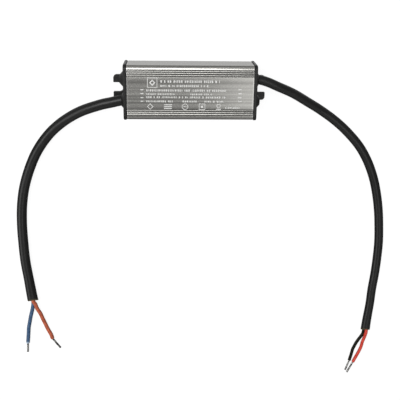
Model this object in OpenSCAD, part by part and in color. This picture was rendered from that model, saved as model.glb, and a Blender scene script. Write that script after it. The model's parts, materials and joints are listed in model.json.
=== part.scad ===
// Waterproof power supply: an aluminium extrusion closed by two moulded caps, with a lead at each end.
// X runs along the body, Y across the printed face and Z up out of it. The floor is z = 0.
// The input is at -X and the output at +X. Both caps are one moulding, turned half round.

/* [Body] */
// Length over both caps
body_l = 85; // [80:1:110]
// Width over the caps
body_w = 35.5; // [34.5:0.5:42]
// Height over the caps
body_h = 26; // [23:0.5:34]
// Radius of the long corners of the caps
body_r = 3; // [2:0.1:4]

/* [Housing] */
// How far the extrusion lies inside the outline of the caps
housing_inset = 0.4; // [0.3:0.1:1]
// Wall of the extrusion
housing_wall = 1.7; // [1.2:0.1:2]
// Width of the flat printed field
field_w = 20.3; // [16:0.1:20.6]
// Distance between the four grooves on each side of the field
groove_pitch = 1.3; // [1:0.05:1.35]
// Radius of the two grooves next to the field
groove_r = 0.35; // [0.2:0.05:0.45]
// Radius of the two shallower grooves outside them
outer_groove_r = 0.25; // [0.1:0.05:0.35]
// How far the ribs of the board slots stand out of the side walls
rib_w = 1.2; // [0.8:0.1:1.6]
// Thickness of each rib
rib_t = 0.9; // [0.7:0.1:1.2]

/* [Caps] */
// Thickness of the plate of a cap
cap_t = 1.6; // [1.2:0.1:2.4]
// Rounding of the plate's outer edge
cap_edge_r = 0.7; // [0.3:0.1:1]
// Thickness of the gasket under a cap
gasket_t = 0.4; // [0.3:0.1:1]
// How far the gasket lies inside the outline of the extrusion
gasket_inset = 0.3; // [0.1:0.1:0.6]
// How far the collar of a cap reaches into the extrusion
collar_l = 4; // [3:0.5:5]
// Wall of the collar
collar_wall = 1.4; // [1:0.1:1.8]
// Clearance of the collar inside the extrusion
collar_play = 0.15; // [0.05:0.05:0.3]

/* [Bosses] */
// Distance of each boss from the middle of the cap
boss_y = 7; // [6.5:0.1:8]
// Radius of a boss at the plate
boss_r = 5.8; // [5.2:0.1:6.4]
// Radius of the closed boss at its tip
boss_tip_r = 2.6; // [1.5:0.1:3.2]
// Height of the closed boss
boss_h = 3.2; // [2.5:0.1:4]
// Height of the boss that the lead passes through
gland_h = 2; // [1:0.1:2.4]
// Clearance of a lead in its bore
gland_play = 0.1; // [0.05:0.05:0.2]

/* [Mounting ears] */
// How far an ear stands out of its cap
ear_l = 8; // [7:0.1:12]
// Width of an ear
ear_w = 16.4; // [14:0.2:22]
// Thickness of an ear
ear_t = 3; // [2:0.1:4]
// Radius of an ear's outer corners
ear_r = 2.2; // [1:0.1:3]
// Width of the screw slot
slot_w = 6.2; // [4.2:0.1:7]
// Distance from the cap to the bottom of the screw slot
slot_root = 1.1; // [0.5:0.1:2]

/* [Circuit board] */
// Thickness of the board
board_t = 1.6; // [1:0.1:2]
// Height of the board above the inner floor of the extrusion
board_rise = 3; // [2.5:0.1:4]
// Clearance of the board in its slots
board_play = 0.3; // [0.1:0.05:0.5]
// Space between the collars and the ends of the board
board_end_gap = 1; // [0.5:0.1:2]
// Clearance between the ribs and the parts along the board's edges
edge_play = 0.4; // [0.2:0.1:0.8]
// Distance from the ends of the board to the first parts
part_margin = 1; // [0.5:0.1:2]
// Thickness of the insulating liner
liner_t = 0.3; // [0.2:0.05:0.5]
// Side of the square thermal pad
pad_size = 7; // [5:0.5:8]
// Radius of a solder joint
joint_r = 0.9; // [0.6:0.1:1.1]
// Height of a solder joint
joint_h = 1; // [0.6:0.1:1.5]
// Radius of a component's pin
pin_r = 0.35; // [0.25:0.05:0.5]

/* [Mains side] */
// Diameter of the fuse
fuse_d = 8.4; // [6:0.1:8.6]
// Height of the fuse
fuse_h = 7.6; // [5:0.1:9]
// Diameter of the varistor disc
varistor_d = 9; // [7:0.5:10]
// Thickness of the varistor disc
varistor_t = 4; // [3:0.1:5]
// Thickness of the suppression capacitor
suppressor_t = 6; // [4:0.5:6]
// Length of the suppression capacitor
suppressor_l = 13; // [10:0.5:13]
// Height of the suppression capacitor
suppressor_h = 11; // [8:0.5:12]
// Diameter of the choke's flanges
choke_d = 8.5; // [6:0.5:9]
// Height of the choke
choke_h = 9; // [7:0.5:11]
// Diameter of the choke's middle
choke_core_d = 4; // [3:0.5:5]
// Thickness of the choke's flanges
choke_flange_t = 1.2; // [0.8:0.1:1.6]
// Length of the bridge rectifier
bridge_l = 8.4; // [6:0.1:8.5]
// Width of the bridge rectifier
bridge_w = 6.4; // [5:0.1:7]
// Height of the bridge rectifier's body
bridge_h = 2.8; // [2:0.1:3.5]
// Diameter of the bulk capacitor
bulk_d = 10; // [8:0.5:10.5]
// Height of the bulk capacitor
bulk_h = 12.5; // [10:0.5:14]
// Length of the controller chip's body
chip_l = 4.9; // [4:0.1:6]
// Width of the controller chip's body
chip_w = 3.9; // [3:0.1:4.5]
// Height of the controller chip's body
chip_h = 1.5; // [1:0.1:2]
// Width of the power transistor's body
transistor_w = 8; // [6:0.5:10]
// Thickness of the power transistor's body
transistor_t = 3.2; // [2.5:0.1:4]
// Height of the power transistor's body
transistor_h = 10; // [8:0.5:11]

/* [Transformer] */
// Width of the ferrite core
core_w = 16; // [14:0.5:17]
// Height of the ferrite core
core_h = 11; // [9:0.5:13]
// Thickness of the ferrite core
core_t = 5; // [4:0.5:6]
// Thickness of the core's outer legs and yokes
core_leg = 2; // [1.5:0.1:2.5]
// Width of the core's middle leg
core_middle = 4; // [3:0.1:5]
// Length of the bobbin along the board
bobbin_l = 13; // [12:0.5:14]
// Wall of the bobbin
bobbin_wall = 0.6; // [0.4:0.1:1]
// Clearance between the core, the bobbin and the winding
core_play = 0.1; // [0.05:0.05:0.3]
// Depth of the winding below the rim of the bobbin's flanges
winding_inset = 0.4; // [0.2:0.1:1]

/* [Output side] */
// Diameter of the safety capacitor disc
safety_d = 8; // [6:0.5:10]
// Thickness of the safety capacitor disc
safety_t = 3.4; // [2.5:0.1:4]
// Length of the snubber capacitor
snubber_l = 7.4; // [6:0.1:9]
// Thickness of the snubber capacitor
snubber_t = 3.4; // [2.5:0.1:4]
// Height of the snubber capacitor
snubber_h = 7; // [5:0.5:9]
// Diameter of the output diode
diode_d = 5.4; // [4:0.1:5.6]
// Length of the output diode's body
diode_l = 9; // [7:0.1:9.5]
// Diameter of an output capacitor
output_cap_d = 8; // [6:0.5:8.5]
// Height of an output capacitor
output_cap_h = 11; // [8:0.5:13]
// Diameter of a resistor
resistor_d = 2.4; // [1.8:0.1:2.6]
// Length of a resistor's body
resistor_l = 6.4; // [5:0.1:7]

/* [Leads] */
// Diameter of the input lead
input_d = 7; // [6:0.1:7.2]
// Diameter of the input lead's cores
input_core_d = 2.8; // [2:0.1:3]
// Diameter of the output lead
output_d = 6.2; // [5:0.1:7]
// Diameter of the output lead's cores
output_core_d = 2.4; // [1.8:0.1:2.6]
// Diameter of the tinned strands of an input core
input_strand_d = 1.5; // [0.8:0.1:1.7]
// Diameter of the tinned strands of an output core
output_strand_d = 1.4; // [0.8:0.1:1.6]
// Space between the two cores of a lead
core_gap = 0.1; // [0.05:0.05:0.3]
// How far each lead's jacket reaches in behind the outer face of its cap
jacket_in = 9; // [7:0.5:12]
// Width of a cable tie
tie_w = 2.6; // [2:0.1:3.6]
// Thickness of a cable tie's band
tie_t = 1.1; // [0.8:0.1:1.4]
// Side of a cable tie's head
tie_head = 4; // [3:0.1:4.6]

/* [Hidden] */
$fn = 48;
eps = 0.01;
hull_fn = 32;

housing_l = body_l - 2 * (cap_t + gasket_t);
housing_w = body_w - 2 * housing_inset;
housing_h = body_h - 2 * housing_inset;
housing_r = body_r - housing_inset;
inner_w = housing_w - 2 * housing_wall;
inner_h = housing_h - 2 * housing_wall;
inner_r = max(housing_r - housing_wall, 0.3);
inner_floor = housing_inset + housing_wall;
inner_groove_y = field_w / 2 + groove_r;
mid_z = body_h / 2;

board_l = housing_l - 2 * (collar_l + board_end_gap);
board_w = inner_w - 2 * board_play;
board_z = inner_floor + board_rise;
board_top = board_z + board_t;
edge_y = inner_w / 2 - rib_w - edge_play;

// Parts stand in columns across the board, with the free length shared out between them
col_widths = [
    fuse_d,
    max(suppressor_t, varistor_t),
    max(choke_d, bridge_l),
    max(bulk_d, transistor_w),
    bobbin_l,
    max(diode_d, 2 * resistor_d + core_play),
    output_cap_d
];
function sum_to(list, n) = n <= 0 ? 0 : list[n - 1] + sum_to(list, n - 1);
col_count = len(col_widths);
col_gap = (board_l - 2 * part_margin - sum_to(col_widths, col_count)) / (col_count - 1);
function col_x(i) = -board_l / 2 + part_margin + sum_to(col_widths, i) + i * col_gap + col_widths[i] / 2;

fuse_at = [col_x(0), edge_y - fuse_d / 2];
varistor_at = [col_x(1), edge_y - varistor_d / 2];
suppressor_at = [col_x(1), -edge_y + suppressor_l / 2];
choke_at = [col_x(2), edge_y - choke_d / 2];
bridge_at = [col_x(2), -edge_y + bridge_w / 2 + joint_r];
bulk_at = [col_x(3), -edge_y + bulk_d / 2];
transistor_at = [col_x(3), edge_y - transistor_t / 2];
chip_at = [col_x(3), (bulk_at.y + bulk_d / 2 + transistor_at.y - transistor_t / 2) / 2];
small_at = [col_x(2), (bridge_at.y + bridge_w / 2 + choke_at.y - choke_d / 2) / 2];
transformer_at = [col_x(4), 0];
safety_at = [col_x(4), -edge_y + safety_t / 2];
snubber_at = [col_x(4), edge_y - snubber_t / 2];
diode_lead = diode_l / 2 + 1.2;
diode_at = [col_x(5), -edge_y + diode_lead + joint_r];
resistor_lead = resistor_l / 2 + 1;
resistor_pitch = resistor_d + core_play;
resistor_at = [col_x(5), edge_y - resistor_lead - joint_r];
output_cap_at = [col_x(6), -edge_y + output_cap_d / 2];
output_cap_pitch = output_cap_d + 0.4;

fuse_pitch = 5;
varistor_pitch = 5;
suppressor_pitch = 10;
choke_pitch = 5;
bridge_pitch = 5.1;
bulk_pitch = 5;
transistor_pitch = 2.3;
safety_pitch = 6;
snubber_pitch = 5;
output_cap_pins = 3.5;

// Inner wires drop to the board just behind the jackets
inner_wire_run = 1;
input_bend = input_core_d;
output_bend = output_core_d;
input_pitch = input_core_d + core_gap;
output_pitch = output_core_d + core_gap;
jacket_end = body_l / 2 - jacket_in;
input_pad_x = jacket_end - inner_wire_run - input_bend;
output_pad_x = jacket_end - inner_wire_run - output_bend;

// Routes of the two leads, measured from the gland in X and Y, and in Z from the height of a lead on the floor
input_exit = [-body_l / 2 - gland_h, -boss_y, mid_z];
output_exit = [body_l / 2 + gland_h, boss_y, mid_z];
input_route = [
    [-7, -1.5, 9.4], [-15, -3.5, 8.5], [-28, -8.5, 5.5], [-40, -16, 2], [-50, -25, 0.2],
    [-58.5, -36.5, 0], [-64.5, -49, 0], [-69, -62.5, 0], [-71.5, -76, 0], [-72.5, -90, 0],
    [-72.5, -104, 0], [-72, -118, 0], [-70.5, -132, 0], [-69, -146, 0], [-68.5, -149.5, 0]
];
output_route = [
    [6, -1.5, 9.8], [13, -4.5, 9.1], [24, -9.5, 6.5], [35, -16, 3.3], [45.5, -22.5, 0.8],
    [56, -30, 0], [65, -38, 0], [73.5, -47.5, 0], [80, -58, 0], [85, -69.5, 0],
    [88.5, -81.5, 0], [91, -94, 0], [92.5, -106, 0], [93.5, -118.5, 0], [93.5, -131, 0],
    [93, -143.5, 0], [92, -156, 0], [91.5, -168.5, 0], [90.5, -181, 0], [90, -190, 0]
];
// Routes of the cores, measured from the end of their jacket in X and Y, and in Z from the height of a core
// on the floor. The last point of each ends its strands.
brown_route = [
    [1.5, -2, 3.1], [2.5, -6, 2.5], [4.5, -10.5, 1.8], [6, -15.5, 1.1], [7.5, -20, 0.5],
    [9, -24.5, 0.1], [11, -29, 0], [12, -32.5, 0], [17.5, -40.5, 0]
];
blue_route = [
    [-0.5, -4, 0.7], [-1.5, -8.5, 0.5], [-3, -14, 0.2], [-4, -18.5, 0], [-5, -23, 0],
    [-5.5, -27.5, 0], [-6, -32, 0], [-6.5, -36, 0], [-7, -43.5, 0]
];
black_route = [
    [-1, -3.5, 0.6], [-2, -6, 0.4], [-4, -9.5, 0.2], [-5.5, -12.5, 0], [-6.5, -15, 0],
    [-7.5, -17.5, 0], [-8, -20, 0], [-8.5, -23, 0], [-9.5, -27.5, 0], [-12, -36, 0]
];
red_route = [
    [0.5, -2.5, 3], [0, -6, 2.2], [-1, -10.5, 1.5], [-1.5, -15, 0.8], [-2.5, -19, 0.3],
    [-4, -23, 0], [-5.5, -26.5, 0], [-6.5, -29, 0], [-10.5, -38, 0]
];
// Slope of the line through a lead's two cores where its jacket ends
input_pair_tilt = 75;
output_pair_tilt = 55;

// Sweeps: rings across a route, each square to the route there
function unit(v) = v / norm(v);
function last(list) = list[len(list) - 1];
function head(list) = [for (i = [0 : len(list) - 2]) list[i]];
function laid(start, origin, route, r) =
    concat([start], [for (p = route) [origin.x + p.x, origin.y + p.y, r + p.z]]);
function side_of(dir) = unit(cross([0, 0, 1], dir));
function along(points, i, first_dir) =
    i == 0 ? first_dir
    : i == len(points) - 1 ? unit(points[i] - points[i - 1])
    : unit(unit(points[i + 1] - points[i]) + unit(points[i] - points[i - 1]));
function ring(centre, dir, r, sides) =
    let (side = side_of(dir), lift = cross(dir, side))
    [for (k = [0 : sides - 1]) centre + r * (cos(360 * k / sides) * side + sin(360 * k / sides) * lift)];
function end_dir(points) = unit(last(points) - points[len(points) - 2]);
function core_start(jacket, pitch, tilt) =
    last(jacket) + pitch / 2 * (cos(tilt) * side_of(end_dir(jacket)) + [0, 0, sin(tilt)]);
function core_points(jacket, pitch, tilt, route, r) =
    laid(core_start(jacket, pitch, tilt), last(jacket), route, r);

input_points = laid(input_exit, input_exit, input_route, input_d / 2);
output_points = laid(output_exit, output_exit, output_route, output_d / 2);
brown_points = core_points(input_points, input_pitch, input_pair_tilt, brown_route, input_core_d / 2);
blue_points = core_points(input_points, -input_pitch, input_pair_tilt, blue_route, input_core_d / 2);
red_points = core_points(output_points, output_pitch, output_pair_tilt, red_route, output_core_d / 2);
black_points = core_points(output_points, -output_pitch, output_pair_tilt, black_route, output_core_d / 2);

module tube(points, r, first_dir, sides) {
    rings = len(points);
    corners = [for (i = [0 : rings - 1]) each ring(points[i], along(points, i, first_dir), r, sides)];
    walls = [
        for (i = [0 : rings - 2]) for (k = [0 : sides - 1])
            let (
                a = i * sides + k,
                b = i * sides + (k + 1) % sides,
                c = b + sides,
                d = a + sides
            )
            each [[a, d, c], [a, c, b]]
    ];
    ends = [
        [for (k = [0 : sides - 1]) k],
        [for (k = [sides - 1 : -1 : 0]) (rings - 1) * sides + k]
    ];
    polyhedron(points = corners, faces = concat(walls, ends));
}

// Turns a part that is drawn for the input end to the output end
module at_output() {
    rotate([0, 0, 180]) children();
}

// Stands an outline, drawn with Y and Z as its own x and y, square to X
module across(length) {
    rotate([90, 0, 90]) linear_extrude(length) children();
}

module rounded_rect(w, h, r) {
    square([w - 2 * r, h], center = true);
    square([w, h - 2 * r], center = true);
    for (x = [-1, 1], y = [-1, 1])
        translate([x * (w / 2 - r), y * (h / 2 - r)]) circle(r);
}

module centred_box(size, at) {
    translate([at.x - size.x / 2, at.y - size.y / 2, at.z]) cube(size);
}

module pin(at, z0, z1) {
    translate([at.x, at.y, z0]) cylinder(h = z1 - z0, r = pin_r, $fn = 16);
}

module board_slot_ribs() {
    for (side = [0, 1]) mirror([side, 0]) {
        translate([inner_w / 2 - rib_w, board_z - rib_t - mid_z]) square([rib_w + eps, rib_t]);
        translate([inner_w / 2 - rib_w, board_top + board_play - mid_z]) square([rib_w + eps, rib_t]);
    }
}

// Four grooves on each side of the printed field
module face_grooves() {
    for (side = [-1, 1])
        for (i = [0 : 3])
            translate([side * (inner_groove_y + i * groove_pitch), housing_h / 2])
                circle(i < 2 ? groove_r : outer_groove_r);
}

module housing_section() {
    difference() {
        rounded_rect(housing_w, housing_h, housing_r);
        rounded_rect(inner_w, inner_h, inner_r);
        face_grooves();
    }
    board_slot_ribs();
}

module housing() {
    color([0.66, 0.66, 0.64])
        translate([-housing_l / 2, 0, mid_z]) across(housing_l) housing_section();
}

module cap_plate() {
    full = cap_t - cap_edge_r;
    translate([-body_l / 2, 0, mid_z]) hull() {
        for (a = [0 : 30 : 60]) {
            inset = cap_edge_r * (1 - sin(a));
            translate([cap_edge_r * (1 - cos(a)), 0, 0])
                across(eps) rounded_rect(body_w - 2 * inset, body_h - 2 * inset, body_r - inset, $fn = hull_fn);
        }
        translate([cap_t - full, 0, 0]) across(full) rounded_rect(body_w, body_h, body_r, $fn = hull_fn);
    }
}

module cap_collar() {
    reach = gasket_t + collar_l;
    rib_room = rib_w + board_play;
    rib_zone = 2 * rib_t + board_t + 3 * board_play;
    outer_w = inner_w - 2 * collar_play;
    outer_h = inner_h - 2 * collar_play;
    translate([-body_l / 2 + cap_t - eps, 0, mid_z]) difference() {
        across(reach + eps) difference() {
            rounded_rect(outer_w, outer_h, inner_r);
            rounded_rect(outer_w - 2 * collar_wall, outer_h - 2 * collar_wall, inner_r);
        }
        for (side = [-1, 1])
            translate([gasket_t / 2, side * inner_w / 2 - rib_room, board_z - rib_t - board_play - mid_z])
                cube([reach + 1, 2 * rib_room, rib_zone]);
    }
}

module boss(y, height, tip_r) {
    translate([-body_l / 2 + eps, y, mid_z]) rotate([0, -90, 0])
        cylinder(h = height + eps, r1 = boss_r, r2 = tip_r);
}

module ear() {
    root = cap_t / 2;
    slot_r = slot_w / 2;
    translate([-body_l / 2, 0, 0]) linear_extrude(ear_t) difference() {
        union() {
            translate([-ear_l + ear_r, -ear_w / 2]) square([ear_l - ear_r + root, ear_w]);
            translate([-ear_l, -ear_w / 2 + ear_r]) square([ear_l, ear_w - 2 * ear_r]);
            for (side = [-1, 1])
                translate([-ear_l + ear_r, side * (ear_w / 2 - ear_r)]) circle(ear_r);
        }
        translate([-slot_root - slot_r, 0]) circle(slot_r);
        translate([-ear_l - 1, -slot_r]) square([ear_l + 1 - slot_root - slot_r, slot_w]);
    }
}

module end_cap(lead_d) {
    slope = (boss_r - boss_tip_r) / boss_h;
    color([0.13, 0.13, 0.125]) difference() {
        union() {
            cap_plate();
            cap_collar();
            boss(boss_y, boss_h, boss_tip_r);
            boss(-boss_y, gland_h, boss_r - slope * gland_h);
            ear();
        }
        translate([-body_l / 2 + cap_t + 1, -boss_y, mid_z]) rotate([0, -90, 0])
            cylinder(h = cap_t + gland_h + 2, r = lead_d / 2 + gland_play);
    }
}

module input_cap() {
    end_cap(input_d);
}

module output_cap() {
    at_output() end_cap(output_d);
}

module gasket() {
    color([0.08, 0.08, 0.08]) translate([-housing_l / 2 - gasket_t, 0, mid_z]) across(gasket_t) difference() {
        rounded_rect(housing_w - 2 * gasket_inset, housing_h - 2 * gasket_inset, housing_r - gasket_inset);
        rounded_rect(inner_w, inner_h, inner_r);
    }
}

module input_gasket() {
    gasket();
}

module output_gasket() {
    at_output() gasket();
}

module insulating_liner() {
    color([0.86, 0.84, 0.74])
        centred_box([board_l, inner_w - 2 * inner_r - 2 * board_play, liner_t], [0, 0, inner_floor]);
}

module thermal_pad() {
    color([0.72, 0.74, 0.8])
        centred_box([pad_size, pad_size, board_rise - liner_t], [chip_at.x, chip_at.y, inner_floor + liner_t]);
}

module circuit_board() {
    color([0.16, 0.42, 0.24]) centred_box([board_l, board_w, board_t], [0, 0, board_z]);
}

function pair_y(at, pitch) = [for (s = [-0.5, 0.5]) [at.x, at.y + s * pitch]];
function pair_x(at, pitch) = [for (s = [-0.5, 0.5]) [at.x + s * pitch, at.y]];
bridge_legs = [
    for (x = [-0.5, 0.5], y = [-0.5, 0.5]) [bridge_at.x + x * bridge_pitch, bridge_at.y + y * bridge_w]
];
transistor_legs = [for (i = [-1 : 1]) [transistor_at.x + i * transistor_pitch, transistor_at.y]];
rail_x = (bobbin_l + core_t) / 4 + 0.5;
rail_pins = [for (x = [-1, 1], y = [-4, 0, 4]) [transformer_at.x + x * rail_x, y]];
output_cap_list = [for (i = [0, 1]) [output_cap_at.x, output_cap_at.y + i * output_cap_pitch]];
resistor_list = [for (s = [-0.5, 0.5]) [resistor_at.x + s * resistor_pitch, resistor_at.y]];
joints = concat(
    pair_y(fuse_at, fuse_pitch), pair_y(varistor_at, varistor_pitch), pair_y(suppressor_at, suppressor_pitch),
    pair_y(choke_at, choke_pitch), bridge_legs, pair_y(bulk_at, bulk_pitch), transistor_legs, rail_pins,
    pair_x(safety_at, safety_pitch), pair_x(snubber_at, snubber_pitch), pair_y(diode_at, 2 * diode_lead),
    [for (at = resistor_list) each pair_y(at, 2 * resistor_lead)],
    [for (at = output_cap_list) each pair_y(at, output_cap_pins)],
    [for (s = [-0.5, 0.5]) [-input_pad_x, -boss_y + s * input_pitch]],
    [for (s = [-0.5, 0.5]) [output_pad_x, boss_y + s * output_pitch]]
);

module solder_joints() {
    color([0.75, 0.76, 0.78])
        for (at = joints)
            translate([at.x, at.y, board_z - joint_h])
                cylinder(h = joint_h, r1 = joint_r * 0.4, r2 = joint_r, $fn = 16);
}

// A standing round part with a crimped foot and a rounded top
module can(at, d, height) {
    r = d / 2;
    crimp = d * 0.05;
    translate([at.x, at.y, board_top]) rotate_extrude()
        polygon([
            [0, 0], [r - crimp, 0], [r, crimp], [r, 3 * crimp], [r - crimp, 4 * crimp], [r, 5 * crimp],
            [r, height - crimp], [r - crimp, height], [0, height]
        ]);
}

// A round disc on two pins, standing across the board when turned is 0 and along it when turned is 90
module disc_on_pins(at, d, t, pitch, turned) {
    lift = 1.2;
    translate([at.x, at.y, board_top]) rotate([0, 0, turned]) {
        translate([-t / 2, 0, lift + d / 2]) rotate([0, 90, 0]) cylinder(h = t, r = d / 2);
        for (s = [-0.5, 0.5]) pin([0, s * pitch], 0, lift + d / 2);
    }
}

// A round part lying along Y, with its two leads bent down to the board
module axial(at, d, length, half_span) {
    lead_r = pin_r;
    height = d / 2 + 0.2;
    translate([at.x, at.y, board_top]) {
        translate([0, length / 2, height]) rotate([90, 0, 0]) cylinder(h = length, r = d / 2);
        translate([0, half_span, height]) rotate([90, 0, 0]) cylinder(h = 2 * half_span, r = lead_r, $fn = 16);
        for (s = [-1, 1]) {
            pin([0, s * half_span], 0, height);
            translate([0, s * half_span, height]) sphere(lead_r, $fn = 16);
        }
    }
}

module fuse() {
    color([0.2, 0.2, 0.22]) can(fuse_at, fuse_d, fuse_h);
}

module varistor() {
    color([0.2, 0.35, 0.65]) disc_on_pins(varistor_at, varistor_d, varistor_t, varistor_pitch, 0);
}

module suppression_capacitor() {
    color([0.85, 0.75, 0.25])
        centred_box([suppressor_t, suppressor_l, suppressor_h], [suppressor_at.x, suppressor_at.y, board_top]);
}

module choke_core() {
    r = choke_d / 2;
    waist = choke_core_d / 2;
    color([0.25, 0.25, 0.26]) translate([choke_at.x, choke_at.y, board_top]) rotate_extrude()
        polygon([
            [0, 0], [r, 0], [r, choke_flange_t], [waist, choke_flange_t],
            [waist, choke_h - choke_flange_t], [r, choke_h - choke_flange_t], [r, choke_h], [0, choke_h]
        ]);
}

module choke_winding() {
    color([0.72, 0.42, 0.2]) translate([choke_at.x, choke_at.y, board_top + choke_flange_t])
        difference() {
            cylinder(h = choke_h - 2 * choke_flange_t, r = choke_d / 2 - winding_inset);
            translate([0, 0, -1]) cylinder(h = choke_h, r = choke_core_d / 2);
        }
}

module bridge_rectifier() {
    stand = 0.4;
    leg_size = [0.8, 1.4, stand + bridge_h / 2];
    color([0.15, 0.15, 0.16]) {
        centred_box([bridge_l, bridge_w - 1, bridge_h], [bridge_at.x, bridge_at.y, board_top + stand]);
        for (at = bridge_legs)
            centred_box(leg_size, [at.x, at.y, board_top]);
    }
}

module bulk_capacitor() {
    color([0.2, 0.25, 0.45]) can(bulk_at, bulk_d, bulk_h);
}

module controller_chip() {
    legs = 4;
    leg_size = [0.45, chip_w + 2, 0.3];
    stand = 0.1;
    color([0.14, 0.14, 0.15]) {
        centred_box([chip_l, chip_w, chip_h], [chip_at.x, chip_at.y, board_top + stand]);
        for (i = [0 : legs - 1])
            centred_box(leg_size, [chip_at.x + (i + 0.5) * chip_l / legs - chip_l / 2, chip_at.y, board_top]);
    }
}

module chip_components() {
    part_size = [2, 1.25, 0.6];
    color([0.55, 0.42, 0.3])
        for (x = [-1 : 1], y = [-0.5, 0.5])
            centred_box(part_size, [small_at.x + x * 2.7, small_at.y + y * 2.2, board_top]);
}

module power_transistor() {
    stand = 2;
    leg_size = [0.8, 0.6, stand + 1];
    body_size = [transistor_w, transistor_t, transistor_h];
    color([0.16, 0.16, 0.17]) {
        centred_box(body_size, [transistor_at.x, transistor_at.y, board_top + stand]);
        for (at = transistor_legs)
            centred_box(leg_size, [at.x, at.y, board_top]);
    }
}

core_rise = 0.5;
core_z = board_top + core_rise;
window_w = (core_w - core_middle) / 2 - core_leg;
window_h = core_h - 2 * core_leg;
tube_w = core_middle + 2 * (core_play + bobbin_wall);
tube_t = core_t + 2 * (core_play + bobbin_wall);
flange_w = core_middle + 2 * (window_w - core_play);

module transformer_core() {
    color([0.22, 0.22, 0.23]) difference() {
        centred_box([core_t, core_w, core_h], [transformer_at.x, 0, core_z]);
        for (side = [-1, 1])
            centred_box([core_t + 2, window_w, window_h],
                [transformer_at.x, side * (core_middle + window_w) / 2, core_z + core_leg]);
    }
}

module transformer_bobbin() {
    low = core_z + core_leg + core_play;
    high = core_z + core_leg + window_h - core_play;
    rail_in = core_t / 2 + core_rise;
    rail_w = bobbin_l / 2 - rail_in;
    color([0.1, 0.1, 0.1]) {
        difference() {
            union() {
                centred_box([tube_t, tube_w, high - low], [transformer_at.x, 0, low]);
                for (z = [low, high - bobbin_wall])
                    centred_box([bobbin_l, flange_w, bobbin_wall], [transformer_at.x, 0, z]);
            }
            centred_box([core_t + 2 * core_play, core_middle + 2 * core_play, high - low + 2],
                [transformer_at.x, 0, low - 1]);
        }
        for (side = [-1, 1])
            centred_box([rail_w, flange_w, low + eps - board_top],
                [transformer_at.x + side * (rail_in + rail_w / 2), 0, board_top]);
    }
}

module transformer_winding() {
    low = core_z + core_leg + core_play + bobbin_wall;
    high = core_z + core_leg + window_h - core_play - bobbin_wall;
    outer_t = bobbin_l - 2 * winding_inset;
    outer_w = flange_w - 2 * winding_inset;
    color([0.85, 0.72, 0.2]) translate([transformer_at.x, 0, low]) linear_extrude(high - low) difference() {
        rounded_rect(outer_t, outer_w, 1);
        square([tube_t, tube_w], center = true);
    }
}

module safety_capacitor() {
    color([0.25, 0.45, 0.75]) disc_on_pins(safety_at, safety_d, safety_t, safety_pitch, 90);
}

module snubber_capacitor() {
    color([0.6, 0.2, 0.15])
        centred_box([snubber_l, snubber_t, snubber_h], [snubber_at.x, snubber_at.y, board_top]);
}

module output_diode() {
    color([0.15, 0.15, 0.15]) axial(diode_at, diode_d, diode_l, diode_lead);
}

module output_capacitors() {
    color([0.15, 0.3, 0.25])
        for (at = output_cap_list) can(at, output_cap_d, output_cap_h);
}

module resistors() {
    color([0.55, 0.7, 0.78])
        for (at = resistor_list) axial(at, resistor_d, resistor_l, resistor_lead);
}

// The stretch of a lead's jacket from its gland to its end inside the housing
module lead_entry(lead_d) {
    color([0.12, 0.12, 0.12]) translate([-body_l / 2 - gland_h, -boss_y, mid_z]) rotate([0, 90, 0])
        cylinder(h = gland_h + jacket_in, r = lead_d / 2);
}

module input_lead_entry() {
    lead_entry(input_d);
}

module output_lead_entry() {
    at_output() lead_entry(output_d);
}

// A cable tie round the jacket, against the inner face of the cap
module cable_tie(lead_d) {
    head_l = tie_w;
    translate([-body_l / 2 + cap_t, -boss_y, mid_z]) {
        rotate([0, 90, 0]) difference() {
            cylinder(h = tie_w, r = lead_d / 2 + tie_t);
            translate([0, 0, -1]) cylinder(h = tie_w + 2, r = lead_d / 2);
        }
        translate([0, -tie_head / 2, lead_d / 2 + tie_t / 2]) cube([head_l, tie_head, tie_head - tie_t]);
    }
}

module input_tie() {
    color([0.85, 0.85, 0.83]) cable_tie(input_d);
}

module output_tie() {
    color([0.85, 0.85, 0.83]) at_output() cable_tie(output_d);
}

// A core from the end of its jacket over one bend down to the board
module inner_wire(y, d, bend) {
    drop = mid_z - bend - board_top;
    translate([-jacket_end, y, mid_z]) {
        rotate([0, 90, 0]) cylinder(h = inner_wire_run + eps, r = d / 2, $fn = 24);
        translate([inner_wire_run, 0, -bend]) rotate([90, 0, 0])
            rotate_extrude(angle = 90, $fn = 24) translate([bend, 0]) circle(d / 2);
        translate([inner_wire_run + bend, 0, -bend - drop]) cylinder(h = drop + eps, r = d / 2, $fn = 24);
    }
}

module input_brown_inner_wire() {
    color([0.5, 0.26, 0.18]) inner_wire(-boss_y - input_pitch / 2, input_core_d, input_bend);
}

module input_blue_inner_wire() {
    color([0.2, 0.32, 0.47]) inner_wire(-boss_y + input_pitch / 2, input_core_d, input_bend);
}

module output_black_inner_wire() {
    color([0.1, 0.1, 0.1]) at_output() inner_wire(-boss_y - output_pitch / 2, output_core_d, output_bend);
}

module output_red_inner_wire() {
    color([0.75, 0.1, 0.08]) at_output() inner_wire(-boss_y + output_pitch / 2, output_core_d, output_bend);
}

jacket_sides = 12;
core_sides = 8;

module input_lead() {
    color([0.14, 0.14, 0.14]) tube(input_points, input_d / 2, [-1, 0, 0], jacket_sides);
}

module output_lead() {
    color([0.14, 0.14, 0.14]) tube(output_points, output_d / 2, [1, 0, 0], jacket_sides);
}

module core(jacket, points, d) {
    tube(head(points), d / 2, end_dir(jacket), core_sides);
}

module strands(points, d) {
    insulation = head(points);
    tube([last(insulation), last(points)], d / 2, end_dir(insulation), core_sides);
}

module input_brown_core() {
    color([0.55, 0.28, 0.2]) core(input_points, brown_points, input_core_d);
}

module input_blue_core() {
    color([0.2, 0.32, 0.5]) core(input_points, blue_points, input_core_d);
}

module output_black_core() {
    color([0.1, 0.1, 0.1]) core(output_points, black_points, output_core_d);
}

module output_red_core() {
    color([0.8, 0.15, 0.1]) core(output_points, red_points, output_core_d);
}

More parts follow.
